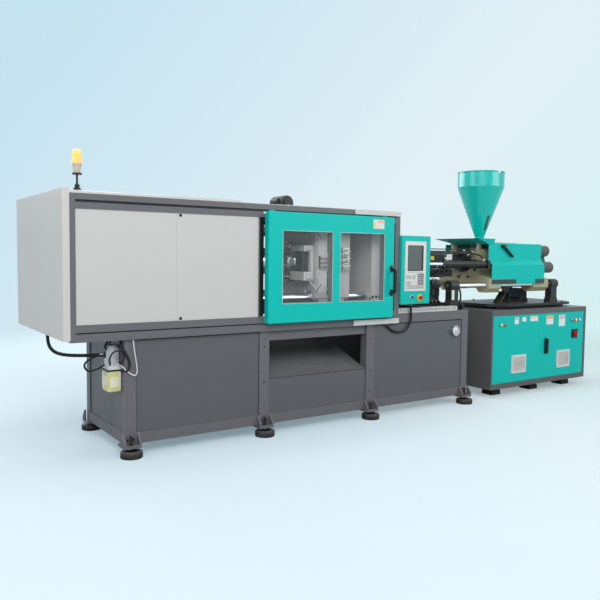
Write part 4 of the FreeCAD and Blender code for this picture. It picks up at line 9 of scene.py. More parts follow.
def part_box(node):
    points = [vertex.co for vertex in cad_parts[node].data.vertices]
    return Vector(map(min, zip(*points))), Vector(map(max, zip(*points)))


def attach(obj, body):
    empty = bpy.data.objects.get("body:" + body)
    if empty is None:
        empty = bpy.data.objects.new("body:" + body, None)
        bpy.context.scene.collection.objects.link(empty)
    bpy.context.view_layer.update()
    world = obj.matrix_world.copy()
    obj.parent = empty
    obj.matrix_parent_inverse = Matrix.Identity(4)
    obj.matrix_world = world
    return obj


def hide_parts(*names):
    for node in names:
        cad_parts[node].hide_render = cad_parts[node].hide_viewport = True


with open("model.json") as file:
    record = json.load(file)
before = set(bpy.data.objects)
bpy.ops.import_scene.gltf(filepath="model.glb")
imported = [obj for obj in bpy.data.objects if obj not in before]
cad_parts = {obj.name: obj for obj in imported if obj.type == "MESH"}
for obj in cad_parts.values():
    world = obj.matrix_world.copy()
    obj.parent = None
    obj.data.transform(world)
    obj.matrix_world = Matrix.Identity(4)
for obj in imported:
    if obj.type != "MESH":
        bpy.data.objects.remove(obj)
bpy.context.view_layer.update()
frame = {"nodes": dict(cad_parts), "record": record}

# Places below are in millimetres from the guard's left front corner, as on the drawings:
# X along the machine, Y away from the operator, Z up. The origin of the part is the middle.
MIDDLE = Vector((2.8205, 0.6845, 0.0))
FRONT, UP, RIGHT, LEFT = (0, -1, 0), (0, 0, 1), (1, 0, 0), (-1, 0, 0)
BACK = (0, 1, 0)

# Axes, middles and heights that details are set by.
AXIS = (447, 1360)                      # Y and Z of the clamp's and the screw's axis
TIES = [(152, 1065), (152, 1655), (742, 1065), (742, 1655)]   # Y and Z of the tie bars
POSTS = (409, 1488.5, 2564.5, 3746)     # X of the bed's posts
HOPPER = (4400, 447)                    # X and Y of the hopper's axis
LAMP = (80, 100)                        # X and Y of the signal lamp's axis
GAUGE_X, GAUGE_Z = 3601, 714            # middle of the pressure gauge
PANE_LOW, PANE_HIGH = 1033, 1605        # Z of the door windows' lower and upper edge
BED_TOP = 930                           # Z of the bolts on the bed's top


def at(x, y, z):
    return Vector((x, y, z)) / 1000 - MIDDLE


def mm(values):
    return [value / 1000 for value in values]


def rgb(*swatch):
    """A colour as seen on a swatch, 0 to 255, in linear light."""
    shares = [value / 255 for value in swatch]
    return (*(value / 12.92 if value <= 0.04045 else ((value + 0.055) / 1.055) ** 2.4
              for value in shares), 1.0)


def placed(name, data):
    """A new object in the scene."""
    thing = bpy.data.objects.new(name, data)
    bpy.context.scene.collection.objects.link(thing)
    return thing


# ---------------------------------------------------------------------- camera

yaw, pitch, roll = math.radians(34.149), math.radians(3.813), math.radians(0.685)
ahead = Vector((math.sin(yaw) * math.cos(pitch), math.cos(yaw) * math.cos(pitch),
                -math.sin(pitch)))
level = Vector((math.cos(yaw), -math.sin(yaw), 0))
upright = level.cross(ahead)
right = level * math.cos(roll) + upright * math.sin(roll)
top = upright * math.cos(roll) - level * math.sin(roll)
camera_data = bpy.data.cameras.new("camera")
camera_data.lens = 40.525
camera_data.sensor_width = 36
camera_data.clip_end = 100
camera = placed("camera", camera_data)
eye = Vector((-1.2199, -4.4558, 1.4154)) - MIDDLE
camera.matrix_world = (Matrix.Translation(eye)
                       @ Matrix((right, top, -ahead)).transposed().to_4x4())
bpy.context.scene.camera = camera


# ------------------------------------------------------------- shader building

class Net:
    """A node tree being wired: add() places a node, feeds its sockets and returns it."""

    def __init__(self, tree):
        self.tree = tree

    def add(self, kind, feeds=None, **settings):
        node = self.tree.nodes.new(kind)
        for key, value in settings.items():
            setattr(node, key, value)
        for key, value in (feeds or {}).items():
            socket = node.inputs[key]
            if isinstance(value, bpy.types.NodeSocket):
                self.tree.links.new(value, socket)
            else:
                socket.default_value = value
        return node

    def math(self, operation, one, two=0.0, three=0.0, clamp=False):
        return self.add("ShaderNodeMath", {0: one, 1: two, 2: three},
                        operation=operation, use_clamp=clamp).outputs[0]

    def ramp(self, factor, low, high, out_low=0.0, out_high=1.0):
        return self.add("ShaderNodeMapRange", {
            "Value": factor, "From Min": low, "From Max": high,
            "To Min": out_low, "To Max": out_high}).outputs[0]

    def blend(self, factor, one, two):
        return self.add("ShaderNodeMix", {0: factor, 6: one, 7: two},
                        data_type="RGBA").outputs[2]

    def noise(self, place, scale, detail=2.0, roughness=0.5):
        return self.add("ShaderNodeTexNoise", {
            "Vector": place, "Scale": scale, "Detail": detail,
            "Roughness": roughness}).outputs[0]

    def stretched(self, place, factors):
        return self.add("ShaderNodeVectorMath", {0: place, 1: factors},
                        operation="MULTIPLY").outputs[0]

    def along(self, place, way):
        return self.add("ShaderNodeVectorMath", {0: place, 1: way},
                        operation="DOT_PRODUCT").outputs["Value"]

    def height_of(self, vector):
        return self.add("ShaderNodeSeparateXYZ", {0: vector}).outputs[2]

    def bump(self, height, strength, distance):
        return self.add("ShaderNodeBump", {"Strength": strength, "Distance": distance,
                                           "Height": height}).outputs[0]


def new_group(name, inputs, outputs):
    """A shader group with named sockets: its tree, its given values and its wiring."""
    tree = bpy.data.node_groups.new(name, "ShaderNodeTree")
    for label, kind, value in inputs:
        socket = tree.interface.new_socket(label, in_out="INPUT",
                                           socket_type="NodeSocket" + kind)
        if value is not None:
            socket.default_value = value
    for label, kind in outputs:
        tree.interface.new_socket(label, in_out="OUTPUT", socket_type="NodeSocket" + kind)
    net = Net(tree)
    return tree, net, net.add("NodeGroupInput").outputs


def make_shop_wear():
    """Uneven tone, settled dust on upward faces and grime near the floor."""
    tree, net, given = new_group(
        "shop_wear", [("Place", "Vector", None), ("Paint", "Color", (1, 1, 1, 1)),
                      ("Gloss", "Float", 0.4), ("Mottle", "Float", 0.06),
                      ("Dust", "Float", 0.2), ("Grime", "Float", 0.3)],
        [("Color", "Color"), ("Roughness", "Float")])
    cloud = net.noise(given["Place"], 2.3, 4.0, 0.6)
    fine = net.noise(given["Place"], 34.0, 5.0, 0.65)
    smear = net.noise(net.stretched(given["Place"], (6.0, 6.0, 0.7)), 2.0, 3.0)
    tone = net.math("ADD", net.math("SUBTRACT", cloud, 0.5), net.math(
        "MULTIPLY", net.math("SUBTRACT", fine, 0.5), 0.5))
    tone = net.math("MULTIPLY_ADD", tone, given["Mottle"], 1.0)
    toned = net.add("ShaderNodeHueSaturation", {"Value": tone, "Color": given["Paint"]})
    normal = net.add("ShaderNodeNewGeometry").outputs["Normal"]
    upward = net.ramp(net.height_of(normal), 0.5, 1.0)
    settled = net.math("MULTIPLY", upward, net.math("MULTIPLY", given["Dust"],
                                                    net.ramp(fine, 0.3, 0.7, 0.4, 1.0)))
    dusty = net.blend(settled, toned.outputs[0], (0.42, 0.4, 0.37, 1))
    low = net.math("MULTIPLY", net.ramp(net.height_of(given["Place"]), 0.45, 0.02),
                   net.math("MULTIPLY", given["Grime"], net.ramp(smear, 0.35, 0.75)))
    grimy = net.blend(low, dusty, (0.06, 0.055, 0.05, 1))
    rough = net.math("ADD", given["Gloss"], net.math(
        "MULTIPLY", net.math("SUBTRACT", smear, 0.45), 0.18))
    rough = net.math("ADD", rough, net.math("MULTIPLY", settled, 0.4), clamp=True)
    net.add("NodeGroupOutput", {"Color": grimy, "Roughness": rough})
    return tree


def make_edge_mask():
    """A mask that is 1 where two faces meet at an edge."""
    tree, net, given = new_group("edge_mask", [("Width", "Float", 0.003)],
                                 [("Mask", "Float")])
    soft = net.add("ShaderNodeBevel", {"Radius": given["Width"]}, samples=4).outputs[0]
    true = net.add("ShaderNodeNewGeometry").outputs["Normal"]
    net.add("NodeGroupOutput", {"Mask": net.ramp(net.along(soft, true), 0.985, 0.8)})
    return tree


def make_grain():
    """The fine orange peel of sprayed paint, or the grain of a casting or moulding."""
    tree, net, given = new_group(
        "surface_grain", [("Place", "Vector", None), ("Size", "Float", 260.0),
                          ("Lumps", "Float", 0.0)], [("Height", "Float")])
    grain = net.noise(given["Place"], given["Size"], 3.0, 0.55)
    lumps = net.noise(given["Place"], net.math("MULTIPLY", given["Size"], 0.12), 3.0)
    height = net.math("MULTIPLY_ADD", lumps, given["Lumps"], grain)
    net.add("NodeGroupOutput", {"Height": height})
    return tree


def make_brush():
    """Fine drawn lines along one axis."""
    tree, net, given = new_group(
        "brushed_lines", [("Place", "Vector", None), ("Stretch", "Vector", (1, 1, 1))],
        [("Shade", "Float")])
    lines = net.stretched(given["Place"], given["Stretch"])
    net.add("NodeGroupOutput", {"Shade": net.noise(lines, 60.0, 4.0, 0.7)})
    return tree


SHOP_WEAR, EDGE_MASK = make_shop_wear(), make_edge_mask()
GRAIN, BRUSH = make_grain(), make_brush()


def new_material(name):
    material = bpy.data.materials.new(name)
    material.use_nodes = True
    material.node_tree.nodes.clear()
    net = Net(material.node_tree)
    return material, net, net.add("ShaderNodeTexCoord").outputs["Object"]


def surface(net, **feeds):
    """Closes a material with one Principled shader."""
    shader = net.add("ShaderNodeBsdfPrincipled", {
        key.replace("_", " "): value for key, value in feeds.items()})
    net.add("ShaderNodeOutputMaterial", {"Surface": shader.outputs[0]})


def dimmed(color, share):
    return tuple(channel * share for channel in color[:3]) + (1,)


def paint(name, swatch, gloss=0.38, mottle=0.06, dust=0.15, grime=0.25, grain=260.0,
          lumps=0.0, bump=0.06, coat=0.12, wear=None, metal=0.0, sheen=0.3):
    """Sprayed enamel, painted casting or moulded plastic."""
    material, net, place = new_material(name)
    worn = net.add("ShaderNodeGroup", {
        "Place": place, "Paint": rgb(*swatch), "Gloss": gloss, "Mottle": mottle,
        "Dust": dust, "Grime": grime}, node_tree=SHOP_WEAR)
    shade = worn.outputs["Color"]
    if wear is not None:
        edge = net.add("ShaderNodeGroup", {"Width": 0.004}, node_tree=EDGE_MASK)
        spots = net.noise(place, 45.0, 5.0)
        mask = net.math("MULTIPLY", edge.outputs[0], net.ramp(spots, 0.4, 0.7, 0.15, 0.8))
        shade = net.blend(mask, shade, rgb(*wear))
    height = net.add("ShaderNodeGroup", {"Place": place, "Size": grain, "Lumps": lumps},
                     node_tree=GRAIN)
    surface(net, Base_Color=shade, Roughness=worn.outputs["Roughness"],
            Normal=net.bump(height.outputs[0], bump, 0.001), Coat_Weight=coat,
            Coat_Roughness=0.12, Metallic=metal, Specular_IOR_Level=sheen)
    return material


def clean(name, swatch, gloss=0.4, mottle=0.03, **more):
    """A paint or plastic high enough above the floor to stay free of grime."""
    return paint(name, swatch, gloss, mottle, grime=0.0, **more)


def cast(name, swatch, gloss=0.5, grain=90.0, lumps=1.2, bump=0.3, coat=0.1, **more):
    """A painted rough casting."""
    return paint(name, swatch, gloss, grain=grain, lumps=lumps, bump=bump, coat=coat,
                 **more)


def soft_black(name, swatch, gloss, dust):
    """Rubber, with a fine dull grain."""
    return paint(name, swatch, gloss, grain=420.0, bump=0.12, coat=0.0, dust=dust)


def metal(name, color, gloss=0.25, stretch=(1.0, 1.0, 1.0), contrast=0.25, bump=0.04):
    """Machined, drawn or chromed metal with fine lines along the long axis."""
    material, net, place = new_material(name)
    shade = net.add("ShaderNodeGroup", {"Place": place, "Stretch": stretch},
                    node_tree=BRUSH).outputs[0]
    color = (*color, 1)
    base = net.blend(net.ramp(shade, 0.3, 0.7), dimmed(color, 1 - contrast), color)
    stains = net.ramp(net.noise(place, 9.0, 4.0), 0.55, 0.85, 0.0, 0.25)
    surface(net, Base_Color=net.blend(stains, base, (0.12, 0.1, 0.08, 1)), Metallic=1.0,
            Roughness=net.ramp(shade, 0.25, 0.75, gloss * 0.7, gloss * 1.3),
            Normal=net.bump(shade, bump, 0.0006))
    return material


def clear(name, color, alpha, gloss=0.03):
    """A clear sheet that lets the light through to what is behind it."""
    material, net, place = new_material(name)
    smudge = net.noise(place, 5.0, 5.0)
    surface(net, Base_Color=(*color, 1),
            Roughness=net.ramp(smudge, 0.3, 0.8, gloss, gloss * 4),
            Alpha=net.ramp(smudge, 0.3, 0.9, alpha, alpha * 1.5), IOR=1.5)
    return material


def glow(name, color, strength):
    """A lit lens: plastic with a little light of its own."""
    material, net, place = new_material(name)
    color = (*color, 1)
    shade = net.blend(net.ramp(net.noise(place, 160.0), 0.3, 0.7), color,
                      dimmed(color, 0.8))
    surface(net, Base_Color=shade, Roughness=0.15, Emission_Color=shade,
            Emission_Strength=strength, Coat_Weight=0.6)
    return material


TEAL, TEAL_WORN = (0, 188, 178), (60, 205, 198)
teal = paint("teal_enamel", TEAL, 0.42, 0.04, 0.06, 0.05, bump=0.05, coat=0.05,
             wear=TEAL_WORN, sheen=0.18)
hopper_teal = paint("hopper_teal_enamel", TEAL, 0.24, 0.04, 0.05, 0.0, bump=0.04, coat=0.5,
                    wear=TEAL_WORN, sheen=0.4)
motor_silver = clean("motor_silver", (204, 206, 208), 0.34, 0.05, metal=0.2)
motor_brown = cast("motor_casting", (84, 78, 78), 0.45, coat=0.15, wear=(128, 122, 116))
frame_grey = paint("frame_grey_enamel", (102, 101, 106), 0.42, grime=0.1,
                   wear=(140, 140, 144))
bed_grey = paint("bed_grey_enamel", (92, 93, 98), 0.42, dust=0.25, grime=0.35,
                 wear=(130, 130, 136))
bed_screw = paint("bed_screw_enamel", (112, 113, 118), 0.35, metal=0.4)
sheet_grey = clean("panel_light_enamel", (200, 198, 196))
cream = clean("cream_enamel", (204, 200, 196), 0.42)
side_sheet = clean("side_sheet_enamel", (212, 209, 208), 0.45, 0.04)
cabinet_grey = paint("cabinet_enamel", (92, 92, 94), 0.4, wear=(120, 120, 124))
black = paint("black_enamel", (26, 26, 28), 0.4, dust=0.25, wear=(90, 88, 84))
olive = cast("olive_casting", (170, 164, 134), dust=0.2, wear=(188, 186, 170))
dark_casting = cast("dark_casting", (44, 44, 44), bump=0.35, dust=0.2,
                    wear=(120, 118, 112))
bright_casting = cast("bright_casting", (196, 198, 194), 0.45, 110.0, 1.0, 0.25,
                      wear=(224, 224, 220))
platen_grey = cast("platen_enamel", (182, 179, 180), 0.42, 110.0, 0.8, 0.2, 0.12,
                   wear=(200, 200, 200))
foot_red = paint("foot_pad_enamel", (34, 27, 29), 0.5, dust=0.3, grime=0.5,
                 wear=(120, 84, 84))
rubber = soft_black("rubber_black", (28, 28, 29), 0.6, 0.3)
sleeve_brown = soft_black("sleeve_brown", (64, 58, 42), 0.55, 0.2)
dark_plastic = clean("black_plastic", (30, 30, 32), 0.35, 0.06, grain=300.0, bump=0.08,
                     coat=0.1)
white_plastic = clean("white_plastic", (222, 222, 216), mottle=0.02, coat=0.2)
yellow = clean("yellow_plastic", (240, 200, 20), 0.3, 0.02)
red = clean("red_plastic", (200, 25, 25), 0.25, 0.02)
blue = clean("blue_plastic", (40, 70, 150), 0.3, 0.02)
seal_grey = clean("seal_grey", (168, 196, 194), mottle=0.02)
seal_white = clean("seal_white", (226, 230, 228), mottle=0.02)
reveal_grey = clean("window_reveal", (118, 120, 121), mottle=0.06)
label_tint = clean("label_peach", (232, 176, 146))
label_cream = clean("label_cream", (226, 222, 196), 0.45, 0.05)
sign_pink = clean("sign_pink", (222, 180, 186), mottle=0.02)
sign_orange = clean("sign_orange", (236, 164, 70), mottle=0.02)
beige = clean("lamp_base_beige", (206, 198, 178), 0.35)
bezel_lip = clean("bezel_lip", (206, 204, 208), 0.35, 0.02)
key_light = clean("key_light", (170, 173, 182), mottle=0.04)
key_warm = clean("key_warm", (176, 162, 156), mottle=0.04)
key_blue = clean("key_slate", (58, 64, 86), mottle=0.04)
tube_white = clean("tube_white", (214, 212, 204), 0.3)
tube_grey = clean("tube_grey", (150, 146, 140), 0.3, 0.04)
stripe_grey = clean("stripe_grey", (58, 62, 64), 0.35)
sight_dark = clean("sight_strip", (20, 70, 68), 0.12, 0.05, coat=0.8)
grille_white = clean("grille_white", (210, 204, 200), 0.45)
tank_plastic = clean("tank_plastic", (206, 204, 140), 0.3, 0.1)
screen = clean("screen_glass", (84, 85, 89), 0.2, 0.05, bump=0.0, coat=1.0)
steel = metal("machined_steel", (0.56, 0.56, 0.55), 0.3, (0.3, 6.0, 6.0))
chrome = metal("hard_chrome", (0.84, 0.84, 0.85), 0.2, (0.4, 5.0, 5.0), 0.12, 0.02)
zinc = metal("zinc_plate", (0.62, 0.62, 0.6), 0.36)
pane_glass = clear("window_sheet", (0.7, 0.76, 0.76), 0.035)
amber = glow("amber_lens", (0.95, 0.55, 0.12), 0.5)
bulb = glow("lamp_bulb", (1.0, 0.8, 0.25), 2.2)
lamp_yellow = glow("pilot_yellow", (0.5, 0.55, 0.08), 0.35)
lamp_red = glow("pilot_red", (0.45, 0.03, 0.05), 0.2)
lamp_orange = glow("pilot_orange", (0.95, 0.45, 0.12), 0.7)
lamp_blue = glow("pilot_blue", (0.12, 0.3, 0.9), 1.3)

FINISHES = {
    "bed_paint": bed_grey, "frame_paint": frame_grey, "panel_paint": sheet_grey,
    "cream_paint": cream, "teal_paint": teal, "cabinet_paint": cabinet_grey,
    "casting_paint": olive, "black_paint": black, "dark_casting": dark_casting,
    "chromed": chrome, "bright_steel": steel, "black_plastic": dark_plastic,
    "white_plastic": white_plastic, "red_plastic": red, "yellow_plastic": yellow,
    "blue_plastic": blue, "window": pane_glass, "amber_lens": amber,
    "tank_plastic": tank_plastic, "cable_rubber": rubber, "pad_rubber": rubber,
    "gauge_steel": zinc,
}
OWN_FINISH = {
    "fixed_platen": platen_grey, "moving_platen": platen_grey, "tail_platen": platen_grey,
    "levelling_feet": foot_red, "bed_frame": frame_grey, "hopper": hopper_teal,
    "lube_motor": motor_silver, "screw_motor": motor_brown,
}
SLOT_OF = {entry["node"]: entry["material_slot"] for entry in frame["record"]["subparts"]}
for name, thing in frame["nodes"].items():
    thing.data.materials.clear()
    thing.data.materials.append(OWN_FINISH.get(name, FINISHES[SLOT_OF[name]]))


# ------------------------------------------------------------- shapes in meshes

def carried(thing, body, replaces=()):
    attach(thing, body)
    if replaces:
        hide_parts(*replaces)
    return thing


class Piece:
    """The faces of one object, gathered from softened blocks, bars and turned forms."""

    def __init__(self, name, body, slot):
        self.name, self.body, self.slot = name, body, slot
        self.mesh = bmesh.new()
        self.marked = self.mesh.faces.layers.int.new("marked")
        self.finishes = []

    def _mark(self, finish, faces, smooth=False):
        if finish not in self.finishes:
            self.finishes.append(finish)
        for face in faces:
            face.material_index = self.finishes.index(finish)
            face[self.marked] = 1
            face.smooth = smooth

    def _ring(self, centre, side, other, radius, sides):
        return [self.mesh.verts.new(
            centre + (side * math.cos(math.tau * i / sides)
                      + other * math.sin(math.tau * i / sides)) * radius / 1000)
            for i in range(sides)]

    def _bridge(self, rings):
        """Faces from each ring of vertices to the next; a ring of one is a tip."""
        faces = []
        for one, two in zip(rings, rings[1:]):
            sides = max(len(one), len(two))
            for i in range(sides):
                j = (i + 1) % sides
                corners = list(dict.fromkeys((one[i % len(one)], one[j % len(one)],
                                              two[j % len(two)], two[i % len(two)])))
                if len(corners) > 2:
                    faces.append(self.mesh.faces.new(corners))
        return faces

    def block(self, finish, low, high, soft=1.5):
        """A box between two corners with softened edges, in drawing millimetres."""
        one, two = at(*low), at(*high)
        made = bmesh.ops.create_cube(self.mesh, size=1.0)["verts"]
        for vertex in made:
            vertex.co = Vector([(one[i] + two[i]) / 2 + vertex.co[i] * (two[i] - one[i])
                                for i in range(3)])
        edges = {edge for vertex in made for edge in vertex.link_edges}
        bmesh.ops.bevel(self.mesh, geom=list(edges), offset=soft / 1000, segments=2,
                        affect="EDGES", profile=0.7)
        self._mark(finish, [face for face in self.mesh.faces if not face[self.marked]])

    def turn(self, finish, start, way, profile, sides=32):
        """A turned form: profile is (distance along way, radius) in millimetres."""
        origin, axis = at(*start), Vector(way).normalized()
        side = axis.orthogonal().normalized()
        rings = []
        for along, radius in profile:
            centre = origin + axis * (along / 1000)
            rings.append(self._ring(centre, side, axis.cross(side), radius, sides)
                         if radius else [self.mesh.verts.new(centre)])
        self._mark(finish, self._bridge(rings), True)

    def disc(self, finish, start, way, radius, high, sides=32):
        self.turn(finish, start, way, [(0, 0), (0, radius), (high, radius), (high, 0)],
                  sides)

    def bar(self, finish, start, end, radius, sides=20):
        """A round bar between two places with softened ends."""
        way = Vector(end) - Vector(start)
        run = way.length
        soft = min(1.0, radius * 0.5, run * 0.4)
        self.turn(finish, start, way, [
            (0, 0), (0, radius - soft), (soft, radius), (run - soft, radius),
            (run, radius - soft), (run, 0)], sides)

    def pipe(self, finish, points, radius, sides=10):
        """A round tube along a smooth line through places in drawing millimetres."""
        path = smooth_line([at(*point) for point in points])
        rings, side = [], None
        for number, centre in enumerate(path):
            way = (path[min(number + 1, len(path) - 1)]
                   - path[max(number - 1, 0)]).normalized()
            if side is None:
                side = way.orthogonal().normalized()
            side = (side - way * side.dot(way)).normalized()
            rings.append(self._ring(centre, side, way.cross(side), radius, sides))
        faces = self._bridge(rings)
        faces += [self.mesh.faces.new(rings[0][::-1]), self.mesh.faces.new(rings[-1])]
        self._mark(finish, faces, True)

    def border(self, finish, low, high, width, near, far, round_off):
        """A rounded frame in the X-Z plane between two depths; low and high are outer."""
        def loop(inset, depth):
            radius = max(round_off - inset, 0.5)
            places = []
            for x, z, turn in ((high[0], high[1], 0), (low[0], high[1], 90),
                               (low[0], low[1], 180), (high[0], low[1], 270)):
                side_x, side_z = (1 if x == high[0] else -1), (1 if z == high[1] else -1)
                for step in range(6):
                    angle = math.radians(turn + 18 * step)
                    places.append(self.mesh.verts.new(at(
                        x - side_x * (inset + radius) + radius * math.cos(angle), depth,
                        z - side_z * (inset + radius) + radius * math.sin(angle))))
            return places
        loops = [loop(0, near), loop(width, near), loop(width, far), loop(0, far)]
        self._mark(finish, self._bridge(loops + loops[:1]))

    def slope(self, finish, axis, cone, bearing, start, end, half_width, thick):
        """A flat strip on a cone, given as (low radius, low z, high radius, high z)."""
        radius_low, z_low, radius_high, z_high = cone
        rings = []
        for step in range(13):
            z = start + (end - start) * step / 12
            share = (z - z_low) / (z_high - z_low)
            radius = radius_low + (radius_high - radius_low) * share
            ring = []
            for side, out in ((-1, 0), (0, 0), (1, 0), (1, thick), (0, thick), (-1, thick)):
                angle = math.radians(bearing) + side * half_width / radius
                ring.append(self.mesh.verts.new(at(
                    axis[0] + (radius + out) * math.cos(angle),
                    axis[1] + (radius + out) * math.sin(angle), z)))
            rings.append(ring)
        faces = [self.mesh.faces.new(rings[0]), self.mesh.faces.new(rings[-1][::-1])]
        self._mark(finish, faces + self._bridge(rings))

    def finish(self, *replaces):
        bmesh.ops.recalc_face_normals(self.mesh, faces=self.mesh.faces)
        self.mesh.faces.layers.int.remove(self.marked)
        data = bpy.data.meshes.new(self.name)
        self.mesh.to_mesh(data)
        self.mesh.free()
        for finish in self.finishes:
            data.materials.append(finish)
        carried(placed(self.name, data), self.body, replaces)


def smooth_line(points, steps=6):
    """Catmull-Rom points through the given places."""
    line = []
    padded = [points[0] * 2 - points[1]] + points + [points[-1] * 2 - points[-2]]
    for p0, p1, p2, p3 in zip(padded, padded[1:], padded[2:], padded[3:]):
        for step in range(steps):
            t = step / steps
            line.append(0.5 * (p1 * 2 + (p2 - p0) * t
                               + (p0 * 2 - p1 * 5 + p2 * 4 - p3) * t * t
                               + (p1 * 3 - p0 - p2 * 3 + p3) * t ** 3))
    return line + [points[-1]]


# ------------------------------------------- repeated shapes in Geometry Nodes

class Shape(Net):
    """A Geometry Nodes tree being wired, with named inputs for its sizes."""

    def __init__(self, name, inputs):
        super().__init__(bpy.data.node_groups.new(name, "GeometryNodeTree"))
        sockets = self.tree.interface
        for label, kind, value in [("Geometry", "Geometry", None),
                                   ("Finish", "Material", None)] + inputs:
            socket = sockets.new_socket(label, in_out="INPUT",
                                        socket_type="NodeSocket" + kind)
            if value is not None:
                socket.default_value = value
        sockets.new_socket("Geometry", in_out="OUTPUT", socket_type="NodeSocketGeometry")
        self.given = self.add("NodeGroupInput").outputs

    def solid(self, kind, feeds, **settings):
        return self.add("GeometryNode" + kind, feeds, **settings).outputs[0]

    def moved(self, shape, **offset):
        return self.solid("Transform", {"Geometry": shape,
                                        "Translation": self.vector(**offset)})

    def vector(self, x=0.0, y=0.0, z=0.0):
        return self.add("ShaderNodeCombineXYZ", {0: x, 1: y, 2: z}).outputs[0]

    def copies(self, points, shape, **turned):
        return self.solid("InstanceOnPoints", {"Points": points, "Instance": shape,
                                               **turned})

    def on_dots(self, shape, **turned):
        """A copy of a shape on each point of the base mesh."""
        return self.copies(self.solid("MeshToPoints", {"Mesh": self.given["Geometry"]}),
                           shape, **turned)

    def line(self, count, offset):
        return self.solid("MeshLine", {"Count": count, "Offset": offset})

    def close(self, shape, smooth_angle=None):
        """Ends the tree: plain mesh with the given finish."""
        shape = self.solid("RealizeInstances", {"Geometry": shape})
        if smooth_angle is not None:
            edge = self.add("GeometryNodeInputMeshEdgeAngle").outputs[0]
            soft = self.add("FunctionNodeCompare", {0: edge, 1: smooth_angle},
                            data_type="FLOAT", operation="LESS_THAN").outputs[0]
            for domain, smooth in (("EDGE", soft), ("FACE", True)):
                shape = self.solid("SetShadeSmooth", {
                    "Geometry": shape, "Shade Smooth": smooth}, domain=domain)
        self.add("NodeGroupOutput", {0: self.solid("SetMaterial", {
            "Geometry": shape, "Material": self.given["Finish"]})})
        return self.tree


def heads_tree():
    """Bolt or screw heads on washers, one on each point, along the point's way."""
    net = Shape("bolt_heads", [
        ("Head radius", "Float", 0.008), ("Head height", "Float", 0.006),
        ("Sides", "Int", 6), ("Washer radius", "Float", 0.010),
        ("Washer height", "Float", 0.0015)])
    given = net.given
    head = net.add("GeometryNodeMeshCylinder", {
        "Vertices": given["Sides"], "Side Segments": 1, "Radius": given["Head radius"],
        "Depth": given["Head height"]}, fill_type="NGON")
    crown = net.add("GeometryNodeExtrudeMesh", {
        "Mesh": head.outputs["Mesh"], "Selection": head.outputs["Top"],
        "Offset Scale": net.math("MULTIPLY", given["Head height"], 0.14)}, mode="FACES")
    crown = net.solid("ScaleElements", {"Geometry": crown.outputs["Mesh"],
                                        "Selection": crown.outputs["Top"], "Scale": 0.82})
    crown = net.moved(crown, z=net.math("MULTIPLY_ADD", given["Head height"], 0.5,
                                        given["Washer height"]))
    washer = net.add("GeometryNodeMeshCylinder", {
        "Vertices": 16, "Radius": given["Washer radius"],
        "Depth": given["Washer height"]}, fill_type="NGON").outputs["Mesh"]
    washer = net.moved(washer, z=net.math("MULTIPLY", given["Washer height"], 0.5))
    way = net.add("GeometryNodeInputNamedAttribute", {"Name": "way"},
                  data_type="FLOAT_VECTOR").outputs["Attribute"]
    turned = net.add("FunctionNodeAlignRotationToVector", {"Vector": way},
                     axis="Z").outputs[0]
    both = net.add("GeometryNodeJoinGeometry")
    for shape in (washer, crown):
        net.tree.links.new(shape, both.inputs[0])
    return net.close(net.on_dots(both.outputs[0], Rotation=turned), 0.6)


def rows_tree():
    """Blocks in columns and rows: keys, slats, fins, slots and studs."""
    net = Shape("block_rows", [
        ("Block size", "Vector", None), ("Columns", "Int", 2), ("Rows", "Int", 2),
        ("Column step", "Vector", None), ("Row step", "Vector", None)])
    given = net.given
    block = net.solid("MeshCube", {"Size": given["Block size"]})
    row = net.copies(net.line(given["Columns"], given["Column step"]), block)
    return net.close(net.on_dots(net.copies(
        net.line(given["Rows"], given["Row step"]), row)))


def round_tree():
    """Small blocks set round an axis: dial marks, fins and knurls."""
    net = Shape("blocks_round", [
        ("Block size", "Vector", None), ("Count", "Int", 12), ("Radius", "Float", 0.05),
        ("First angle", "Float", 0.0), ("Arc", "Float", math.tau),
        ("Axis turn", "Rotation", None)])
    given = net.given
    block = net.moved(net.solid("MeshCube", {"Size": given["Block size"]}),
                      x=given["Radius"])
    place = net.add("GeometryNodeInputIndex").outputs[0]
    step = net.math("DIVIDE", given["Arc"], given["Count"])
    angle = net.math("MULTIPLY_ADD", place, step, given["First angle"])
    spread = net.copies(net.line(given["Count"], (0.0, 0.0, 0.0)), block,
                        Rotation=net.vector(z=angle))
    return net.close(net.on_dots(spread, Rotation=given["Axis turn"]))


def hose_tree():
    """A corrugated tube that swells and draws in along a line."""
    net = Shape("ribbed_hose", [
        ("Radius", "Float", 0.012), ("Pitch", "Float", 0.0066),
        ("Rib depth", "Float", 0.12), ("Sides", "Int", 20)])
    given = net.given
    fine = net.solid("ResampleCurve", {
        "Curve": net.solid("MeshToCurve", {"Mesh": given["Geometry"]}),
        "Length": net.math("DIVIDE", given["Pitch"], 3.0)}, mode="LENGTH")
    step = net.math("MODULO", net.add("GeometryNodeInputIndex").outputs[0], 3.0)
    waist = net.math("LESS_THAN", step, 0.5)
    size = net.math("SUBTRACT", 1.0, net.math("MULTIPLY", waist, given["Rib depth"]))
    fine = net.solid("SetCurveRadius", {"Curve": fine, "Radius": 1.0})
    ring = net.solid("CurvePrimitiveCircle", {"Resolution": given["Sides"],
                                              "Radius": given["Radius"]}, mode="RADIUS")
    return net.close(net.solid("CurveToMesh", {
        "Curve": fine, "Profile Curve": ring, "Fill Caps": True, "Scale": size}), 1.2)


HEADS, ROWS, ROUND, HOSE = heads_tree(), rows_tree(), round_tree(), hose_tree()


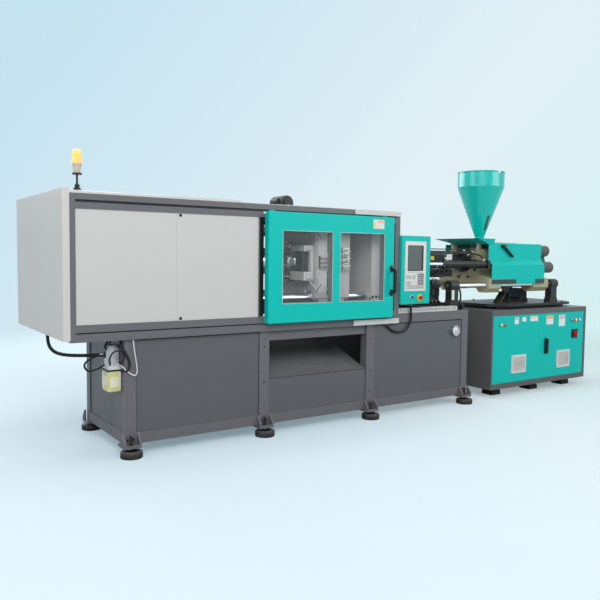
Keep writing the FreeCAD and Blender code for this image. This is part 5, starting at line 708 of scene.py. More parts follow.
def formed(name, tree, base, sizes, soft=0.0):
    """The plain mesh that a tree makes on a base mesh, with softened edges."""
    thing = placed(name, base)
    maker = thing.modifiers.new("maker", "NODES")
    maker.node_group = tree
    for item in tree.interface.items_tree:
        if item.in_out == "INPUT" and item.name in sizes:
            maker[item.identifier] = sizes[item.name]
    if soft:
        rounding = thing.modifiers.new("rounding", "BEVEL")
        rounding.width, rounding.segments = soft, 2
    bpy.context.view_layer.update()
    ready = thing.evaluated_get(bpy.context.evaluated_depsgraph_get())
    data = bpy.data.meshes.new_from_object(ready)
    data.name = name
    thing.modifiers.clear()
    thing.data = data
    bpy.data.meshes.remove(base)
    return thing


def dots(places, way=None):
    """A base mesh of loose points, all with one way."""
    data = bpy.data.meshes.new("dots")
    data.from_pydata([at(*place) for place in places], [], [])
    if way:
        for item in data.attributes.new("way", "FLOAT_VECTOR", "POINT").data:
            item.vector = way
    return data


def ribbed(name, finish, places, radius, pitch, depth=0.12, sides=16):
    """A corrugated hose along places in metres, with its sizes in millimetres."""
    data = bpy.data.meshes.new("string")
    data.from_pydata(places, [(i, i + 1) for i in range(len(places) - 1)], [])
    return formed(name, HOSE, data, {
        "Finish": finish, "Radius": radius / 1000, "Pitch": pitch / 1000,
        "Rib depth": depth, "Sides": sides})


def hose(name, finish, places, radius, pitch):
    """A short corrugated hose held at both ends, through places in millimetres."""
    carried(ribbed(name, finish, smooth_line([at(*place) for place in places]), radius,
                   pitch), "machine")


def bolts(name, body, finish, places, way, radius, height, sides=6, washer=1.35):
    """Bolt heads at places in drawing millimetres, all along one way."""
    carried(formed(name, HEADS, dots(places, way), {
        "Finish": finish, "Head radius": radius / 1000, "Head height": height / 1000,
        "Sides": sides, "Washer radius": radius * washer / 1000,
        "Washer height": height * 0.18 / 1000}), body)


def rows(name, body, finish, start, size, columns, column_step, lines=1,
         row_step=(0, 0, 0), soft=0.6):
    """Blocks in columns and rows from the middle of the first, in millimetres."""
    carried(formed(name, ROWS, dots([start]), {
        "Finish": finish, "Block size": mm(size), "Columns": columns, "Rows": lines,
        "Column step": mm(column_step), "Row step": mm(row_step)}, soft / 1000), body)


def spokes(name, finish, place, size, count, radius, more=None):
    """Small blocks round an upright axis, or round the axis that more gives."""
    carried(formed(name, ROUND, dots([place]), {
        "Finish": finish, "Block size": mm(size), "Count": count,
        "Radius": radius / 1000, **(more or {})}), "machine")


def round_x(x, y, z, radius, angles, radius_z=None):
    """Places round an axis along the machine, at angles up from the far side."""
    return [(x, y + radius * math.cos(math.radians(a)),
             z + (radius_z or radius) * math.sin(math.radians(a))) for a in angles]


def grid(xs, ys, zs):
    return [(x, y, z) for x in xs for y in ys for z in zs]


# ------------------------------------------------------- cords: cable, conduit

def heading(elevation, azimuth):
    up, round_z = math.radians(elevation), math.radians(azimuth)
    return Vector((math.cos(up) * math.sin(round_z), -math.cos(up) * math.cos(round_z),
                   math.sin(up)))


def route(start, steps):
    """Corner points of a cord, in metres: each step is a run in mm and its way."""
    points = [at(*start)]
    for run, elevation, azimuth in steps:
        points.append(points[-1] + heading(elevation, azimuth) * run / 1000)
    return points


def cord_curve(name, points, radius):
    data = bpy.data.curves.new(name, "CURVE")
    data.dimensions = "3D"
    data.bevel_depth = radius
    data.bevel_resolution = 5
    data.resolution_u = 12
    data.use_fill_caps = True
    spline = data.splines.new("NURBS")
    spline.points.add(len(points) - 1)
    for point, place in zip(spline.points, points):
        point.co = (*place, 1)
    spline.order_u = 3
    spline.use_endpoint_u = True
    return placed(name, data)


def line_of(curve):
    """The places along a curve's own line."""
    bpy.context.view_layer.update()
    flat = curve.evaluated_get(bpy.context.evaluated_depsgraph_get())
    data = bpy.data.meshes.new_from_object(flat)
    places = [vertex.co.copy() for vertex in data.vertices]
    bpy.data.meshes.remove(data)
    return places


cable_points = route((3020, 12, 975), [
    (55, -90, 90), (72, -83, 90), (76, -65, -90), (78, -32, -90), (84, 0, -90),
    (84, 23, -90), (58, 45, -90)])
cable = cord_curve("operator_cable", cable_points, 0.010)
cable.data.materials.append(rubber)
carried(cable, "machine", ["operator_panel_cable"])

conduit_points = route((25, 700, 807), [
    (57, -90, 0), (60, -55, 23), (75, -20, 23), (110, -2, 23), (140, 4, 23),
    (117, 6, 26.5), (80, 6.4, 37)])
guide = cord_curve("conduit_line", conduit_points, 0.0)
guide_line = line_of(guide)
bpy.data.objects.remove(guide)
conduit = ribbed("end_conduit_ribs", rubber, guide_line, 12.5, 6.6, sides=20)
carried(conduit, "machine", ["end_conduit"])


# ------------------------------------------------------------- guard and doors

def front_of(node):
    """How far the front of a node stands from the guard's front, in millimetres."""
    return (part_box(node)[0][1] + MIDDLE.y) * 1000


bolts("guard_panel_screws", "machine", dark_plastic,
      grid((776,), (5.8,), (952, 1686)), FRONT, 9, 3.2, 20, 1.25)


def door_trim(name, body, outer, way):
    """Seals round the two windows of a door, on the face that looks along way."""
    trim = Piece(name, body, "white_plastic")
    near, far = sorted((outer, outer + way * 2.2))
    for low, high in ((1597, 2077), (2157, 2629)):
        trim.border(seal_grey, (low - 2, PANE_LOW), (high + 2, PANE_HIGH), 5, near, far, 8)
        trim.border(reveal_grey, (low, PANE_LOW + 2), (high, PANE_HIGH - 2), 1.6,
                    *sorted((outer + way * 0.2, outer - way * 58)), 1)
    return trim


trim = door_trim("front_window_seals", "front_door", -60, -1)
trim.block(white_plastic, (2502, -61.4, 1645), (2622, -60, 1721), 0.4)
trim.block(label_tint, (2545, -61.9, 1694), (2616, -61.3, 1715), 0.2)
trim.block(yellow, (2508, -61.9, 1653), (2530, -61.3, 1690), 0.2)
for z in (1091, 1314):
    trim.turn(dark_plastic, (2715, -60, z), FRONT, [
        (0, 0), (0, 21), (3, 21), (5, 18), (16, 14), (22, 13), (24, 0)])
    trim.turn(zinc, (2715, -83.5, z), FRONT, [(0, 0), (0, 6), (2, 5), (2, 0)], 6)
trim.finish()
door_trim("rear_window_seals", "rear_door", 1429, 1).finish()
# A black sheet in the gap at the guard's middle post: painted shade in the gap.
gap_shade = Piece("guard_gap_painted_shade", "machine", "black_paint")
gap_shade.block(black, (1426, 21, 940), (1474, 25, 1694), 1)
gap_shade.finish()
knob = Piece("front_door_stop_knob", "front_door", "white_plastic")
knob.turn(white_plastic, (1462, -1.5, 1733), FRONT,
          [(0, 0), (0, 10), (9, 10), (12, 8), (12, 0)])
knob.finish()
# A plate on the fixed platen's side toward the operator. Part of its light colour is the
# plate's own, and part is painted highlight for the light falling on that side.
side = Piece("fixed_platen_side_plate_and_highlight", "machine", "casting_paint")
side.block(side_sheet, (2606, 73.5, 1030), (2846, 77.2, 1690), 1)
side.finish()

# ------------------------------------------------------------------ signal lamp

lamp = Piece("signal_lamp_light", "machine", "amber_lens")
lamp.turn(beige, (*LAMP, 1938), UP, [
    (0, 0), (0, 19), (3, 21), (48, 27), (60, 29.5), (64, 29.5), (64, 0)], 40)
lamp.turn(amber, (*LAMP, 2002), UP, [
    (0, 0), (0, 28), (2, 28.6), (70, 27), (80, 25), (88, 19), (92, 10), (93.5, 0)], 40)
lamp.turn(bulb, (*LAMP, 2004), UP, [(0, 0), (0, 14), (60, 14), (70, 9), (74, 0)])
lamp.disc(zinc, (*LAMP, 1931), UP, 24, 7)
lamp.finish("signal_lamp_lens")
for name, low, tall, radius, finish in (("signal_lamp_ribs", 2040, 62, 28.2, amber),
                                        ("signal_lamp_grips", 1990, 14, 29.6, beige)):
    spokes(name, finish, (*LAMP, low), (1.6, 2.2, tall), 36, radius)

# ------------------------------------------------------------- operator's panel

face = Piece("operator_panel_screen", "machine", "white_plastic")
face.block(screen, (2932, -29.6, 1287), (3118, -28.1, 1511), 0.5)
# Two dark strips along the screen's right and lower edge: painted shadow of the bezel on
# the glass.
face.block(dark_plastic, (3101, -29.9, 1287.5), (3117.5, -29.4, 1510.5), 0.2)
face.block(dark_plastic, (2933, -29.9, 1287.5), (3102, -29.4, 1293), 0.2)
face.border(dark_plastic, (2930, 1285), (3120, 1513), 3, -31.6, -29, 3)
face.border(bezel_lip, (2900, 1105), (3153, 1549), 5, -32.2, -31, 8)
for x, z in ((3008, 1247), (3008, 1214), (2996, 1230.5), (3020, 1230.5)):
    face.turn(key_blue, (x, -30.9, z), FRONT, [(0, 0), (0, 7.5), (2.6, 6.6), (3.4, 0)], 4)
face.block(seal_white, (2915, -35, 1196), (2971, -31, 1210), 1.2)
face.turn(seal_white, (2986, -30.4, 1052), FRONT, [
    (0, 12.3), (0, 15.4), (4, 15), (5, 13.6), (5, 12.3)], 40)
face.finish()
for name, slot, finish, start, thick, columns, lines in (
        ("left", "white_plastic", key_light, (2923.5, -32.7, 1133), 3.4, 3, 7),
        ("right", "blue_plastic", key_blue, (3060, -32.7, 1168), 3.6, 4, 6),
        ("bottom", "white_plastic", key_warm, (2982, -32.7, 1133), 3.4, 8, 2)):
    rows("panel_keys_" + name, "machine", finish, start, (15.6, thick, 10.8),
         columns, (19.5, 0, 0), lines, (0, 0, 17.5), 1.2)
rows("panel_soft_keys", "machine", dark_plastic, (2944, -32, 1274),
     (10, 2.4, 5.5), 8, (23.2, 0, 0), soft=0.8)
mark = Piece("selector_mark", "selector", "white_plastic")
mark.block(seal_white, (2984, front_of("selector_knob") - 1.0, 1052),
           (2988, front_of("selector_knob") + 1, 1064), 0.5)
mark.finish()

# ------------------------------------------------------------ lubrication unit

lube = Piece("lubrication_details", "machine", "black_paint")
lube.block(dark_plastic, (262, 66, 600), (366, 209, 612), 3)
lube.turn(dark_plastic, (292, 100, 611), UP, [
    (0, 0), (0, 17), (12, 17), (15, 14), (15, 0)], 12)
lube.block(seal_white, (268.5, 182, 478), (270.2, 198, 590), 0.5)
lube.block(label_cream, (268.8, 96, 500), (270.2, 166, 566), 0.4)
for x in (302, 340):
    lube.turn(bezel_lip, (x, 88, 611), UP, [
        (0, 0), (0, 12), (26, 12), (28, 9), (42, 9), (44, 0)], 12)
lube.pipe(rubber, [(268, 160, 700), (220, 166, 700), (150, 170, 664), (140, 170, 628),
                   (170, 166, 600), (230, 154, 616), (268, 150, 640)], 7)
lube.block(label_cream, (284, 68.6, 490), (344, 70.2, 560), 0.4)
lube.block(seal_white, (350, 68.6, 474), (357, 70.2, 594), 0.4)
lube.turn(motor_silver, (316, 137.5, 764), UP, [
    (0, 0), (0, 43), (10, 43), (16, 37), (18, 0)])
lube.block(dark_plastic, (262, 120, 690), (286, 155, 735), 2)
lube.pipe(tube_white, [(339, 90, 646), (352, 44, 640), (392, 12, 596), (432, 4, 572),
                       (450, 3, 596), (446, 5, 660), (434, 8, 742), (426, 14, 823)], 4.5)
lube.pipe(rubber, [(318, 180, 768), (330, 196, 800), (340, 190, 824)], 7)
lube.pipe(rubber, [(292, 92, 640), (276, 60, 690), (300, 36, 740), (352, 30, 742),
                   (366, 24, 700), (340, 40, 652)], 6)
lube.pipe(rubber, [(284, 130, 735), (262, 110, 770), (270, 90, 800), (284, 84, 824)], 8)
lube.finish()
spokes("lube_motor_fins", motor_silver, (316, 137.5, 702), (6, 2.4, 105),
       28, 47.5)
hose("lube_conduit", rubber, [
    (352, 60, 824), (356, 40, 780), (372, 12, 730), (392, 10, 690), (400, 12, 640),
    (384, 16, 606), (360, 52, 604)], 9, 7)

# -------------------------------------------------------------------------- bed

gaps = Piece("bed_panel_gaps", "machine", "black_paint")
for low, high in (((450, 155), (1444, 815)), ((1533, 155), (2520, 443)),
                  ((2609, 155), (3705, 815))):
    gaps.border(black, low, high, 5, 29.4, 31, 2)
gaps.finish()
pads = Piece("foot_pad_rims", "machine", "bright_steel")
for x, y, z in grid(POSTS, (6, 913), (0,)):
    pads.turn(foot_red, (x, y, z), UP, [
        (0, 0), (0, 75), (3, 77), (38, 77), (44, 72), (45, 40), (45, 0)], 48)
pads.finish()

bay_screws = []
for low, high in ((450, 1444), (2609, 3705)):
    bay_screws += grid((low + 22, (low + high) / 2, high - 22), (29.9,), (182, 788))
    bay_screws += grid((low + 22, high - 22), (29.9,), (485,))
bolts("bed_panel_screws", "machine", bed_screw, bay_screws, FRONT,
      5.5, 2.6, 20)
bolts("bed_post_screws", "machine", dark_plastic,
      grid((2565, 1489), (23.9,), (240, 420, 700)), FRONT, 5, 2.5, 20)
bolts("foot_bracket_bolts", "machine", black,
      [(x + side, 23.9, 118) for x in POSTS for side in (-22, 22)], FRONT, 7, 6)

dial = Piece("pressure_gauge_dial", "machine", "white_plastic")
front = front_of("pressure_gauge")
dial.disc(seal_white, (GAUGE_X, front + 7, GAUGE_Z), FRONT, 43.4, 3, 48)
dial.turn(dark_plastic, (GAUGE_X, front + 4, GAUGE_Z), FRONT, [
    (0, 0), (0, 4.5), (3, 4), (3, 0)])
dial.pipe(dark_plastic, [(GAUGE_X, front + 2.6, GAUGE_Z), (3588, front + 2.6, 698),
                         (3577, front + 2.6, 685)], 1.1, 6)
dial.turn(zinc, (GAUGE_X, front + 6, GAUGE_Z), FRONT, [
    (0, 44), (6, 44), (7, 46), (7, 49.5), (0, 49.5)], 48)
dial.finish()
spokes("gauge_marks", dark_plastic, (GAUGE_X, front + 3.8, GAUGE_Z),
       (7, 1.1, 0.6), 27, 36, {"First angle": math.radians(-45),
                               "Arc": math.radians(280),
                               "Axis turn": (math.radians(90), 0.0, 0.0)})

# ------------------------------------------------------- clamp behind the windows

yoke = Piece("ram_yoke", "clamp", "casting_paint")
for low, high in ((1446, 1496), (1206, 1278)):
    yoke.block(bright_casting, (1902, 96, low), (1999, 300, high), 9)
    yoke.block(bright_casting, (1926, 84, low + 14), (1980, 100, high - 10), 5)
yoke.block(bright_casting, (1968, 96, 1270), (1999, 150, 1452), 6)
yoke.turn(dark_casting, (1941, *AXIS), RIGHT, [
    (0, 172.5), (2, 174), (56, 174), (58, 172.5)], 64)
yoke.turn(steel, (1925, *AXIS), RIGHT, [
    (0, 110.5), (0, 128), (15, 132), (15, 110.5)], 64)
for y, z in TIES:
    yoke.turn(steel, (2000, y, z), LEFT, [(0, 40), (0, 62), (20, 62), (24, 58), (24, 40)],
              40)
    yoke.turn(steel, (2360, y, z), RIGHT, [
        (0, 40), (0, 58), (10, 58), (12, 56), (12, 40)], 40)
# A dark plate in the opening between the yoke's upper and lower blocks: painted shade in
# the opening.
yoke.block(dark_casting, (1904, 128, 1279), (1967, 134, 1445), 1)
yoke.block(side_sheet, (2034, 74.6, 1105), (2122, 77.2, 1615), 1)
yoke.finish()
bolts("ram_yoke_bolts", "clamp", steel,
      grid((1920, 1950, 1980), (95.8,), (1456, 1268)), FRONT, 7, 6)
bolts("ram_flange_bolts", "clamp", dark_casting,
      round_x(1938, *AXIS, 150, range(75, -285, -30)), LEFT, 10, 9)

water = Piece("platen_hoses", "clamp", "bright_steel")
for number in range(6):
    high, low = 1300 + 30 * number, 1316 + 18 * number
    water.bar(zinc, (2303, 30, high), (2303, 8, high), 9, 12)
    water.pipe(tube_white if number % 2 else tube_grey, [
        (2303, 9, high), (2302, -6, high), (2284, -12, high - 1),
        (2236, 0, (high + low) / 2), (2190, 26, low), (2140, 40, low), (2070, 44, low),
        (2044, 58, low - 2), (2042, 76, low - 3)], 5, 8)
    water.bar(zinc, (2104, 42, low), (2146, 40, low), 7.2, 12)
    water.bar(dark_casting, (2042, 60, low - 3), (2042, 77, low - 3), 8, 12)
for x, z, far_x, far_z in ((2128, 1085, 2128, 1285), (2128, 1440, 2128, 1640),
                           (2010, 1618, 2062, 1548), (2010, 1110, 2062, 1172),
                           (2150, 1085, 2150, 1640)):
    water.bar(dark_casting, (x, 77, z), (far_x, 77, far_z), 4, 8)
water.pipe(tube_white, [(2012, 74, 1330), (2003, 40, 1311), (1988, 30, 1254),
                        (2030, 28, 1180), (2090, 28, 1140), (2150, 40, 1100),
                        (2190, 76, 1080)], 4.5, 8)
water.pipe(tube_white, [(1950, 94, 1215), (1962, 66, 1180), (1996, 50, 1140),
                        (2016, 60, 1118), (2026, 76, 1104)], 3.5, 8)
water.block(dark_plastic, (2020, 74.5, 1020), (2110, 77.2, 1032), 0.6)
water.finish()
bolts("fixed_platen_plugs", "machine", dark_plastic,
      grid((2622, 2660, 2698), (73.5,), (1056,)), FRONT, 10, 2.5, 24)
bolts("moving_platen_bolts", "clamp", steel,
      grid((2030, 2330), (77,), (1010, 1710)), FRONT, 11, 8)
bolts("tie_nut_screws", "machine", steel,
      [place for y, z in TIES for place in round_x(2934, y, z, 46, range(0, 360, 60))],
      RIGHT, 5, 5, 20)

# --------------------------------------------------------------- injection unit

unit = Piece("injection_details", "carriage", "black_paint")
for low, high in ((4207, 4587), (4899, 5050)):
    for y in (98.2, 793.8):
        unit.block(stripe_grey, (low, y, 1144), (high, y + 2, 1190), 0.5)
unit.block(cream, (4440, 151, 1559.5), (4640, 180, 1568), 2)
unit.block(yellow, (3586, 340.6, 1381), (3630, 342.2, 1420), 0.5)
unit.block(seal_white, (3781, 340.6, 1383), (3883, 342.2, 1443), 0.5)
for y in (275, 617):
    unit.turn(cream, (4186, y, 1490), UP, [
        (0, 0), (0, 22), (8, 22), (12, 15), (52, 14), (56, 20), (66, 20), (66, 0)], 24)
unit.pipe(black, [(3480, 300, 1490), (3455, 296, 1478), (3400, 292, 1448),
                  (3384, 292, 1436)], 5)
unit.turn(dark_plastic, (3380, 292, 1430), (0.6, 0, 0.8), [
    (0, 0), (0, 9), (16, 9), (18, 0)], 12)
for x, z, size in ((4080, 1470, 26), (4020, 1436, 22), (3960, 1478, 18)):
    unit.block(dark_casting, (x - size, 262, z - size), (x + size, 340, z + size), 4)
    unit.turn(zinc, (x, 262, z), FRONT, [(0, 0), (0, 12), (10, 12), (12, 8), (20, 8),
                                         (20, 0)], 6)
for y in (130, 764):
    unit.bar(zinc, (3574, y, 1383), (3574, y, 1410), 11, 6)
    unit.bar(zinc, (4110, y, 1374), (4110, y, 1396), 11, 6)
    unit.pipe(rubber, [(3574, y, 1408), (3574, y, 1430), (3600, y + 4, 1446),
                       (3760, y + 20, 1452), (4020, y + 24, 1444), (4084, y + 14, 1424),
                       (4110, y, 1394)], 8)
unit.finish()
shroud = Piece("barrel_lower_shroud", "carriage", "black_paint")
shroud.block(black, (3340, 350, 1216), (3900, 540, 1289), 3)
for number in range(3):
    x = 3400 + 60 * number
    shroud.pipe(rubber, [(x, 346, 1300), (x + 20, 312, 1268),
                         (x + 90, 296 - 6 * number, 1226), (x + 200, 300, 1226),
                         (x + 300, 330, 1262), (x + 330, 352, 1275)], 9)
shroud.finish()
bolts("barrel_hood_screws", "carriage", zinc,
      grid(range(3360, 4200, 105), (341.8,), (1318,)), FRONT, 6, 4, 20)
rows("hood_louvres", "carriage", black, (3400, 447, 1473),
     (7, 150, 3), 34, (20, 0, 0), soft=1)
bolts("housing_bolts", "carriage", dark_casting,
      round_x(4169.5, 447, 1330, 165, [22.5 + 45 * i for i in range(8)], 130), LEFT, 11, 10)
bolts("seat_cylinder_bolts", "carriage", zinc,
      [(3539.5, y + 27 * c, 1345 + 27 * s) for y in (130, 764) for s in (0.7, -0.7)
       for c in (0.7, -0.7)], LEFT, 5, 5)

bands = Piece("heater_band_clamps", "carriage", "bright_steel")
for number in range(7):
    x = 3020 + 190 * number
    for middle in (x + 24, x + 126):
        for y in (430, 454):
            bands.block(zinc, (middle - 9, y, 1426), (middle + 9, y + 10, 1446), 1)
        bands.bar(steel, (middle, 424, 1438), (middle, 470, 1438), 3, 10)
    bands.block(white_plastic, (x + 60, 436, 1426), (x + 92, 458, 1450), 2)
bands.finish()

feed = Piece("hopper_details", "carriage", "teal_paint")
for z, sides, profile in (
        (1590, 48, [(24, 47), (26, 52), (34, 52), (36, 47)]),
        (2141, 72, [(0, 239), (2, 241.4), (7, 241.4), (9, 240)]),
        (2291, 72, [(0, 240), (0, 242), (8, 242), (9, 240)])):
    feed.turn(hopper_teal, (*HOPPER, z), UP, profile, sides)
feed.finish()
bolts("hopper_flange_bolts", "carriage", zinc,
      [(HOPPER[0] + 64 * math.cos(math.radians(a)),
        HOPPER[1] + 64 * math.sin(math.radians(a)), 1587) for a in range(30, 390, 60)],
      UP, 7, 6)
sight = Piece("hopper_sight_strip", "carriage", "black_plastic")
sight.slope(sight_dark, HOPPER, (46, 1618, 240, 2145), -96, 1700, 1850, 16, 1.2)
sight.finish()
ribs = Piece("hopper_lid_ribs", "lid", "teal_paint")
ribs.turn(teal, (*HOPPER, 2304), UP, [
    (0, 150), (0, 160), (2.5, 160), (3.5, 159), (3.5, 151), (2.5, 150), (0, 150)], 64)
ribs.block(zinc, (4388, 204, 2280), (4412, 209, 2306))
ribs.finish()

lobes = [place for a in range(54, -306, -72)
         for _, y, z in round_x(5390, *AXIS, 162, [a])
         for place in round_x(5390, y, z, 46, range(a + 100, a - 150, -50))]
bolts("motor_lobe_bolts", "plasticizing", dark_casting, lobes, RIGHT, 6, 6)
bolts("motor_cap_bolts", "plasticizing", dark_casting,
      round_x(5430, *AXIS, 52, range(90, -270, -60)), RIGHT, 6, 5)
ports = Piece("motor_ports", "plasticizing", "dark_casting")
for y in (418, 476):
    ports.bar(zinc, (5300, y, 1360), (5452, y, 1360), 15, 6)
    ports.disc(rubber, (5452, y, 1360), RIGHT, 12, 6)
ports.finish()

# ---------------------------------------------------------- valves on the bed top

valves = Piece("valve_stack", "machine", "black_paint")
valves.block(black, (3300, 104, 930), (3600, 790, 942), 2)
valves.block(dark_casting, (3400, 232, 942), (3600, 430, 1118), 6)
valves.block(olive, (3420, 250, 1118), (3580, 410, 1150), 4)
for x in (3446, 3500, 3554):
    valves.block(dark_plastic, (x - 22, 205, 1040), (x + 22, 233, 1112), 4)
    valves.turn(black, (x, 240, 1170), BACK, [
        (0, 0), (0, 20), (4, 23), (86, 23), (90, 20), (90, 0)], 24)
    valves.block(dark_casting, (x - 22, 330, 1150), (x + 22, 405, 1192), 4)
    valves.block(seal_white, (x - 13, 248, 1190), (x + 13, 278, 1208), 3)
    valves.bar(zinc, (x, 232, 985), (x, 208, 985), 13, 6)
    valves.pipe(rubber, [(x, 210, 985), (x, 190, 984), (x + 4, 176, 970),
                         (x + 8, 172, 944)], 10)
valves.turn(black, (3530, 232, 1150), (-0.35, -0.94, 0), [
    (0, 0), (0, 14), (30, 14), (30, 46), (34, 50), (44, 50), (48, 46), (48, 0)], 36)
valves.pipe(rubber, [(3560, 430, 1000), (3600, 470, 1004), (3640, 520, 980),
                     (3650, 560, 932)], 12)
valves.pipe(rubber, [(3470, 430, 1060), (3470, 500, 1072), (3400, 560, 1020),
                     (3380, 570, 942)], 12)
valves.block(seal_white, (3640, 96, 1000), (3668, 108, 1094), 3)
valves.pipe(rubber, [(3750, 124, 1108), (3768, 116, 1080), (3770, 110, 1020),
                     (3752, 106, 960), (3744, 112, 931)], 9)
valves.finish()
for number in range(3):
    y = 300 + 34 * number
    hose("hose_sleeve_" + str(number), sleeve_brown, [
        (4662 + 6 * number, y, 1040), (4646, y, 1010), (4604, y - 2, 966),
        (4570, y - 4, 929)], 15, 11)
bracket = Piece("hose_bracket", "machine", "black_paint")
bracket.block(black, (4634, 278, 1038), (4712, 392, 1050))
bracket.block(black, (4702, 278, 929), (4712, 392, 1050))
bracket.finish()
base_bolts = grid((4940, 5005, 5070), (338, 462), (BED_TOP,))
base_bolts += grid((4500, 4720, 5140, 5400), (112, 783), (BED_TOP,))
bolts("base_plate_bolts", "machine", black, base_bolts, UP, 9, 9)
bolts("stand_bolts", "machine", black,
      grid((3647, 3733, 5202, 5288), (112, 188, 706, 782), (BED_TOP,)), UP, 7, 12)

# ---------------------------------------------------------------------- cabinet

leaf = front_of("cabinet_door_left")
near = {side: front_of(side + "_door_fittings") for side in ("left", "right")}
for side, signs in (
        ("left", [(4459, 4518, 735, 802, sign_pink), (4578, 4637, 757, 802, None),
                  (4708, 4830, 754, 806, yellow)]),
        ("right", [(4977, 5091, 707, 799, sign_orange),
                   (5193, 5300, 679, 800, sign_pink)])):
    plates = Piece(side + "_door_signs", side + "_cabinet_door", "white_plastic")
    for x0, x1, z0, z1, tint in signs:
        plates.block(seal_white, (x0, leaf - 3.4, z0), (x1, leaf + 0.5, z1), 0.6)
        if tint:
            plates.block(tint, (x0 + 5, leaf - 3.9, z1 - 0.34 * (z1 - z0)),
                         (x1 - 5, leaf - 3.2, z1 - 5), 0.3)
    plates.finish()
for side, lamps in (("left", [(4240, lamp_yellow), (4312, lamp_red)]),
                    ("right", [(5423, lamp_red), (5489, lamp_orange), (5553, lamp_blue)])):
    lenses = Piece(side + "_pilot_lamps", side + "_cabinet_door", "white_plastic")
    depth = leaf - near[side]
    for x, finish in lamps:
        lenses.turn(zinc, (x, leaf + 0.5, 738), FRONT, [
            (0, 0), (0, 17.5), (depth + 3, 17.5), (depth + 4, 16)])
        lenses.turn(finish, (x, near[side], 738), FRONT, [
            (0, 0), (0, 14.5), (4, 14.5), (8, 12), (10.5, 7), (11.5, 0)])
    lenses.finish()
for side, middle in (("left", 4531), ("right", 5280)):
    rows(side + "_grille_slats", side + "_cabinet_door", grille_white,
         (middle, near[side] + 0.2, 243), (200, 2.6, 5), 1, RIGHT, 17, (0, 0, 10.1), 0.8)
switch = Piece("main_switch_plate", "right_cabinet_door", "black_plastic")
switch.block(dark_plastic, (5428, leaf - 9.8, 536), (5532, leaf + 0.5, 634), 2.5)
switch.block(dark_plastic, (4955, leaf - 8.6, 396), (4985, leaf + 0.5, 564), 2)
switch.finish()

# ------------------------------------------------------------ back and roof

back_screws = []
for low, high in ((455, 1439), (1538, 2515), (2614, 3700)):
    back_screws += grid((low + 20, (low + high) / 2, high - 20), (889.1,), (182, 788))
bolts("bed_back_screws", "machine", bed_screw, back_screws, BACK,
      5.5, 2.6, 20)
bolts("guard_back_screws", "machine", dark_plastic,
      grid((776, 1398, 70, 712), (1363.1,), (952, 1686)), BACK, 9, 3.2, 20, 1.25)
bolts("roof_screws", "machine", zinc,
      grid((1300, 1700, 2100, 2500, 2830), (24, 1345), (1804,)), UP, 7, 4, 20)
for name, slot, finish, start, size, columns, lines in (
        ("bed_back", "bed_paint", bed_grey, (3157, 891, 520), (320, 5, 8), 1, 12),
        ("cabinet_back", "cabinet_paint", cabinet_grey, (4500, 1002, 480),
         (420, 5, 8), 2, 14),
        ("cabinet_side", "cabinet_paint", cabinet_grey, (5688, 500, 560),
         (5, 420, 8), 1, 12)):
    rows(name + "_louvres", "machine", finish, start, size, columns, (800, 0, 0),
         lines, (0, 0, 20), 1.5)
service = Piece("oil_service_parts", "machine", "gauge_steel")
for low, high in ((4240, 4760), (5040, 5560)):
    service.border(cabinet_grey, (low, 180), (high, 800), 10, 1000, 1003, 12)
for x in (4500, 5300):
    service.block(dark_plastic, (x - 40, 1000, 330), (x + 40, 1008, 356), 2)
    service.pipe(dark_plastic, [(x - 30, 1008, 343), (x - 28, 1024, 343),
                                (x + 28, 1024, 343), (x + 30, 1008, 343)], 4, 8)
service.block(zinc, (5686, 180, 260), (5694, 214, 420), 2)
service.block(seal_white, (5693.5, 188, 280), (5696, 206, 400), 1)
service.block(red, (5695.5, 194, 300), (5696.6, 200, 308), 0.2)
for z in (270, 410):
    service.disc(zinc, (5694, 197, z), RIGHT, 9, 5, 6)
for z in (700, 640):
    service.bar(zinc, (5686, 240, z), (5712, 240, z), 17, 6)
    service.turn(dark_plastic, (5712, 240, z), RIGHT, [(0, 0), (0, 14), (8, 13), (9, 0)])
service.finish()


# ------------------------------------------------------------ floor and lights

def pale_sweep(net, place, way, low, high):
    """Pale blue that turns nearly white and then mint along a way."""
    far, half = net.along(place, way), (low + high) / 2
    first = net.blend(net.ramp(far, low, half), rgb(196, 226, 240), rgb(226, 240, 246))
    return net.blend(net.ramp(far, half, high), first, rgb(206, 240, 237))


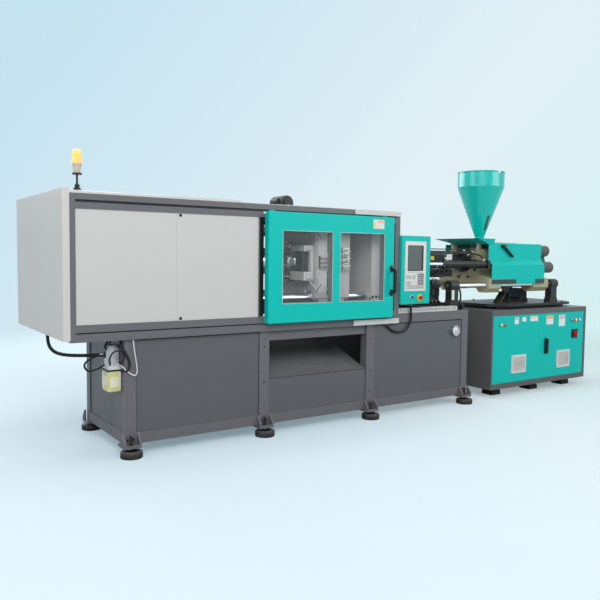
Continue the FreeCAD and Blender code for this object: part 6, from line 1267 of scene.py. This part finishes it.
floor_mesh = bpy.data.meshes.new("floor")
floor_mesh.from_pydata([(-40, -40, 0), (40, -40, 0), (40, 40, 0), (-40, 40, 0)], [],
                       [(0, 1, 2, 3)])
floor = placed("floor", floor_mesh)
material, net, place = new_material("floor_pale")
seen_share = net.math("MULTIPLY", net.add("ShaderNodeLightPath").outputs["Is Camera Ray"],
                      0.37)
plain = net.add("ShaderNodeBsdfPrincipled", {
    "Base Color": rgb(184, 194, 198), "Roughness": 0.9, "Specular IOR Level": 0.1,
    "Emission Color": pale_sweep(net, place, (0.1, -0.06, 0.0), -0.1, 0.5),
    "Emission Strength": seen_share})
reach = net.add("ShaderNodeVectorMath", {0: place}, operation="LENGTH").outputs["Value"]
faded = net.add("ShaderNodeMixShader", {
    0: net.ramp(reach, 3.2, 9.0), 1: plain.outputs[0],
    2: net.add("ShaderNodeBsdfTransparent").outputs[0]})
net.add("ShaderNodeOutputMaterial", {"Surface": faded.outputs[0]})
floor.data.materials.append(material)

world = bpy.data.worlds.new("studio")
bpy.context.scene.world = world
world.use_nodes = True
world.node_tree.nodes.clear()
net = Net(world.node_tree)
facing = net.add("ShaderNodeTexCoord").outputs["Generated"]
soft = net.add("ShaderNodeBackground", {"Color": rgb(236, 240, 244), "Strength": 0.4})
seen = net.add("ShaderNodeBackground", {
    "Color": pale_sweep(net, facing, (0.62, -0.42, -0.66), -0.45, 0.55), "Strength": 1.0})
ray = net.add("ShaderNodeLightPath").outputs
seen_ray = net.math("MAXIMUM", ray["Is Camera Ray"], net.math(
    "MAXIMUM", ray["Is Transmission Ray"], ray["Is Glossy Ray"]))
choice = net.add("ShaderNodeMixShader", {0: seen_ray, 1: soft.outputs[0],
                                         2: seen.outputs[0]})
net.add("ShaderNodeOutputWorld", {"Surface": choice.outputs[0]})

for name, place, aim, size, power in (
        ("key", (-1500, -5500, 5200), (2600, 300, 1000), (5.0, 3.5), 350),
        ("side", (-6000, 500, 3200), (0, 700, 1300), (4.0, 3.0), 95),
        ("fill", (7500, -5500, 3600), (4600, 300, 900), (5.0, 3.0), 165),
        ("back", (1200, 7600, 4300), (2700, 900, 1000), (6.0, 3.5), 300),
        ("overhead", (3000, 600, 6500), (3000, 500, 0), (7.0, 3.0), 130)):
    data = bpy.data.lights.new(name, "AREA")
    data.shape = "RECTANGLE"
    data.size, data.size_y = size
    data.energy = power
    lamp = placed(name, data)
    lamp.location = at(*place)
    lamp.rotation_euler = (at(*aim) - at(*place)).to_track_quat("-Z", "Y").to_euler()

bpy.context.scene.view_settings.view_transform = "Standard"
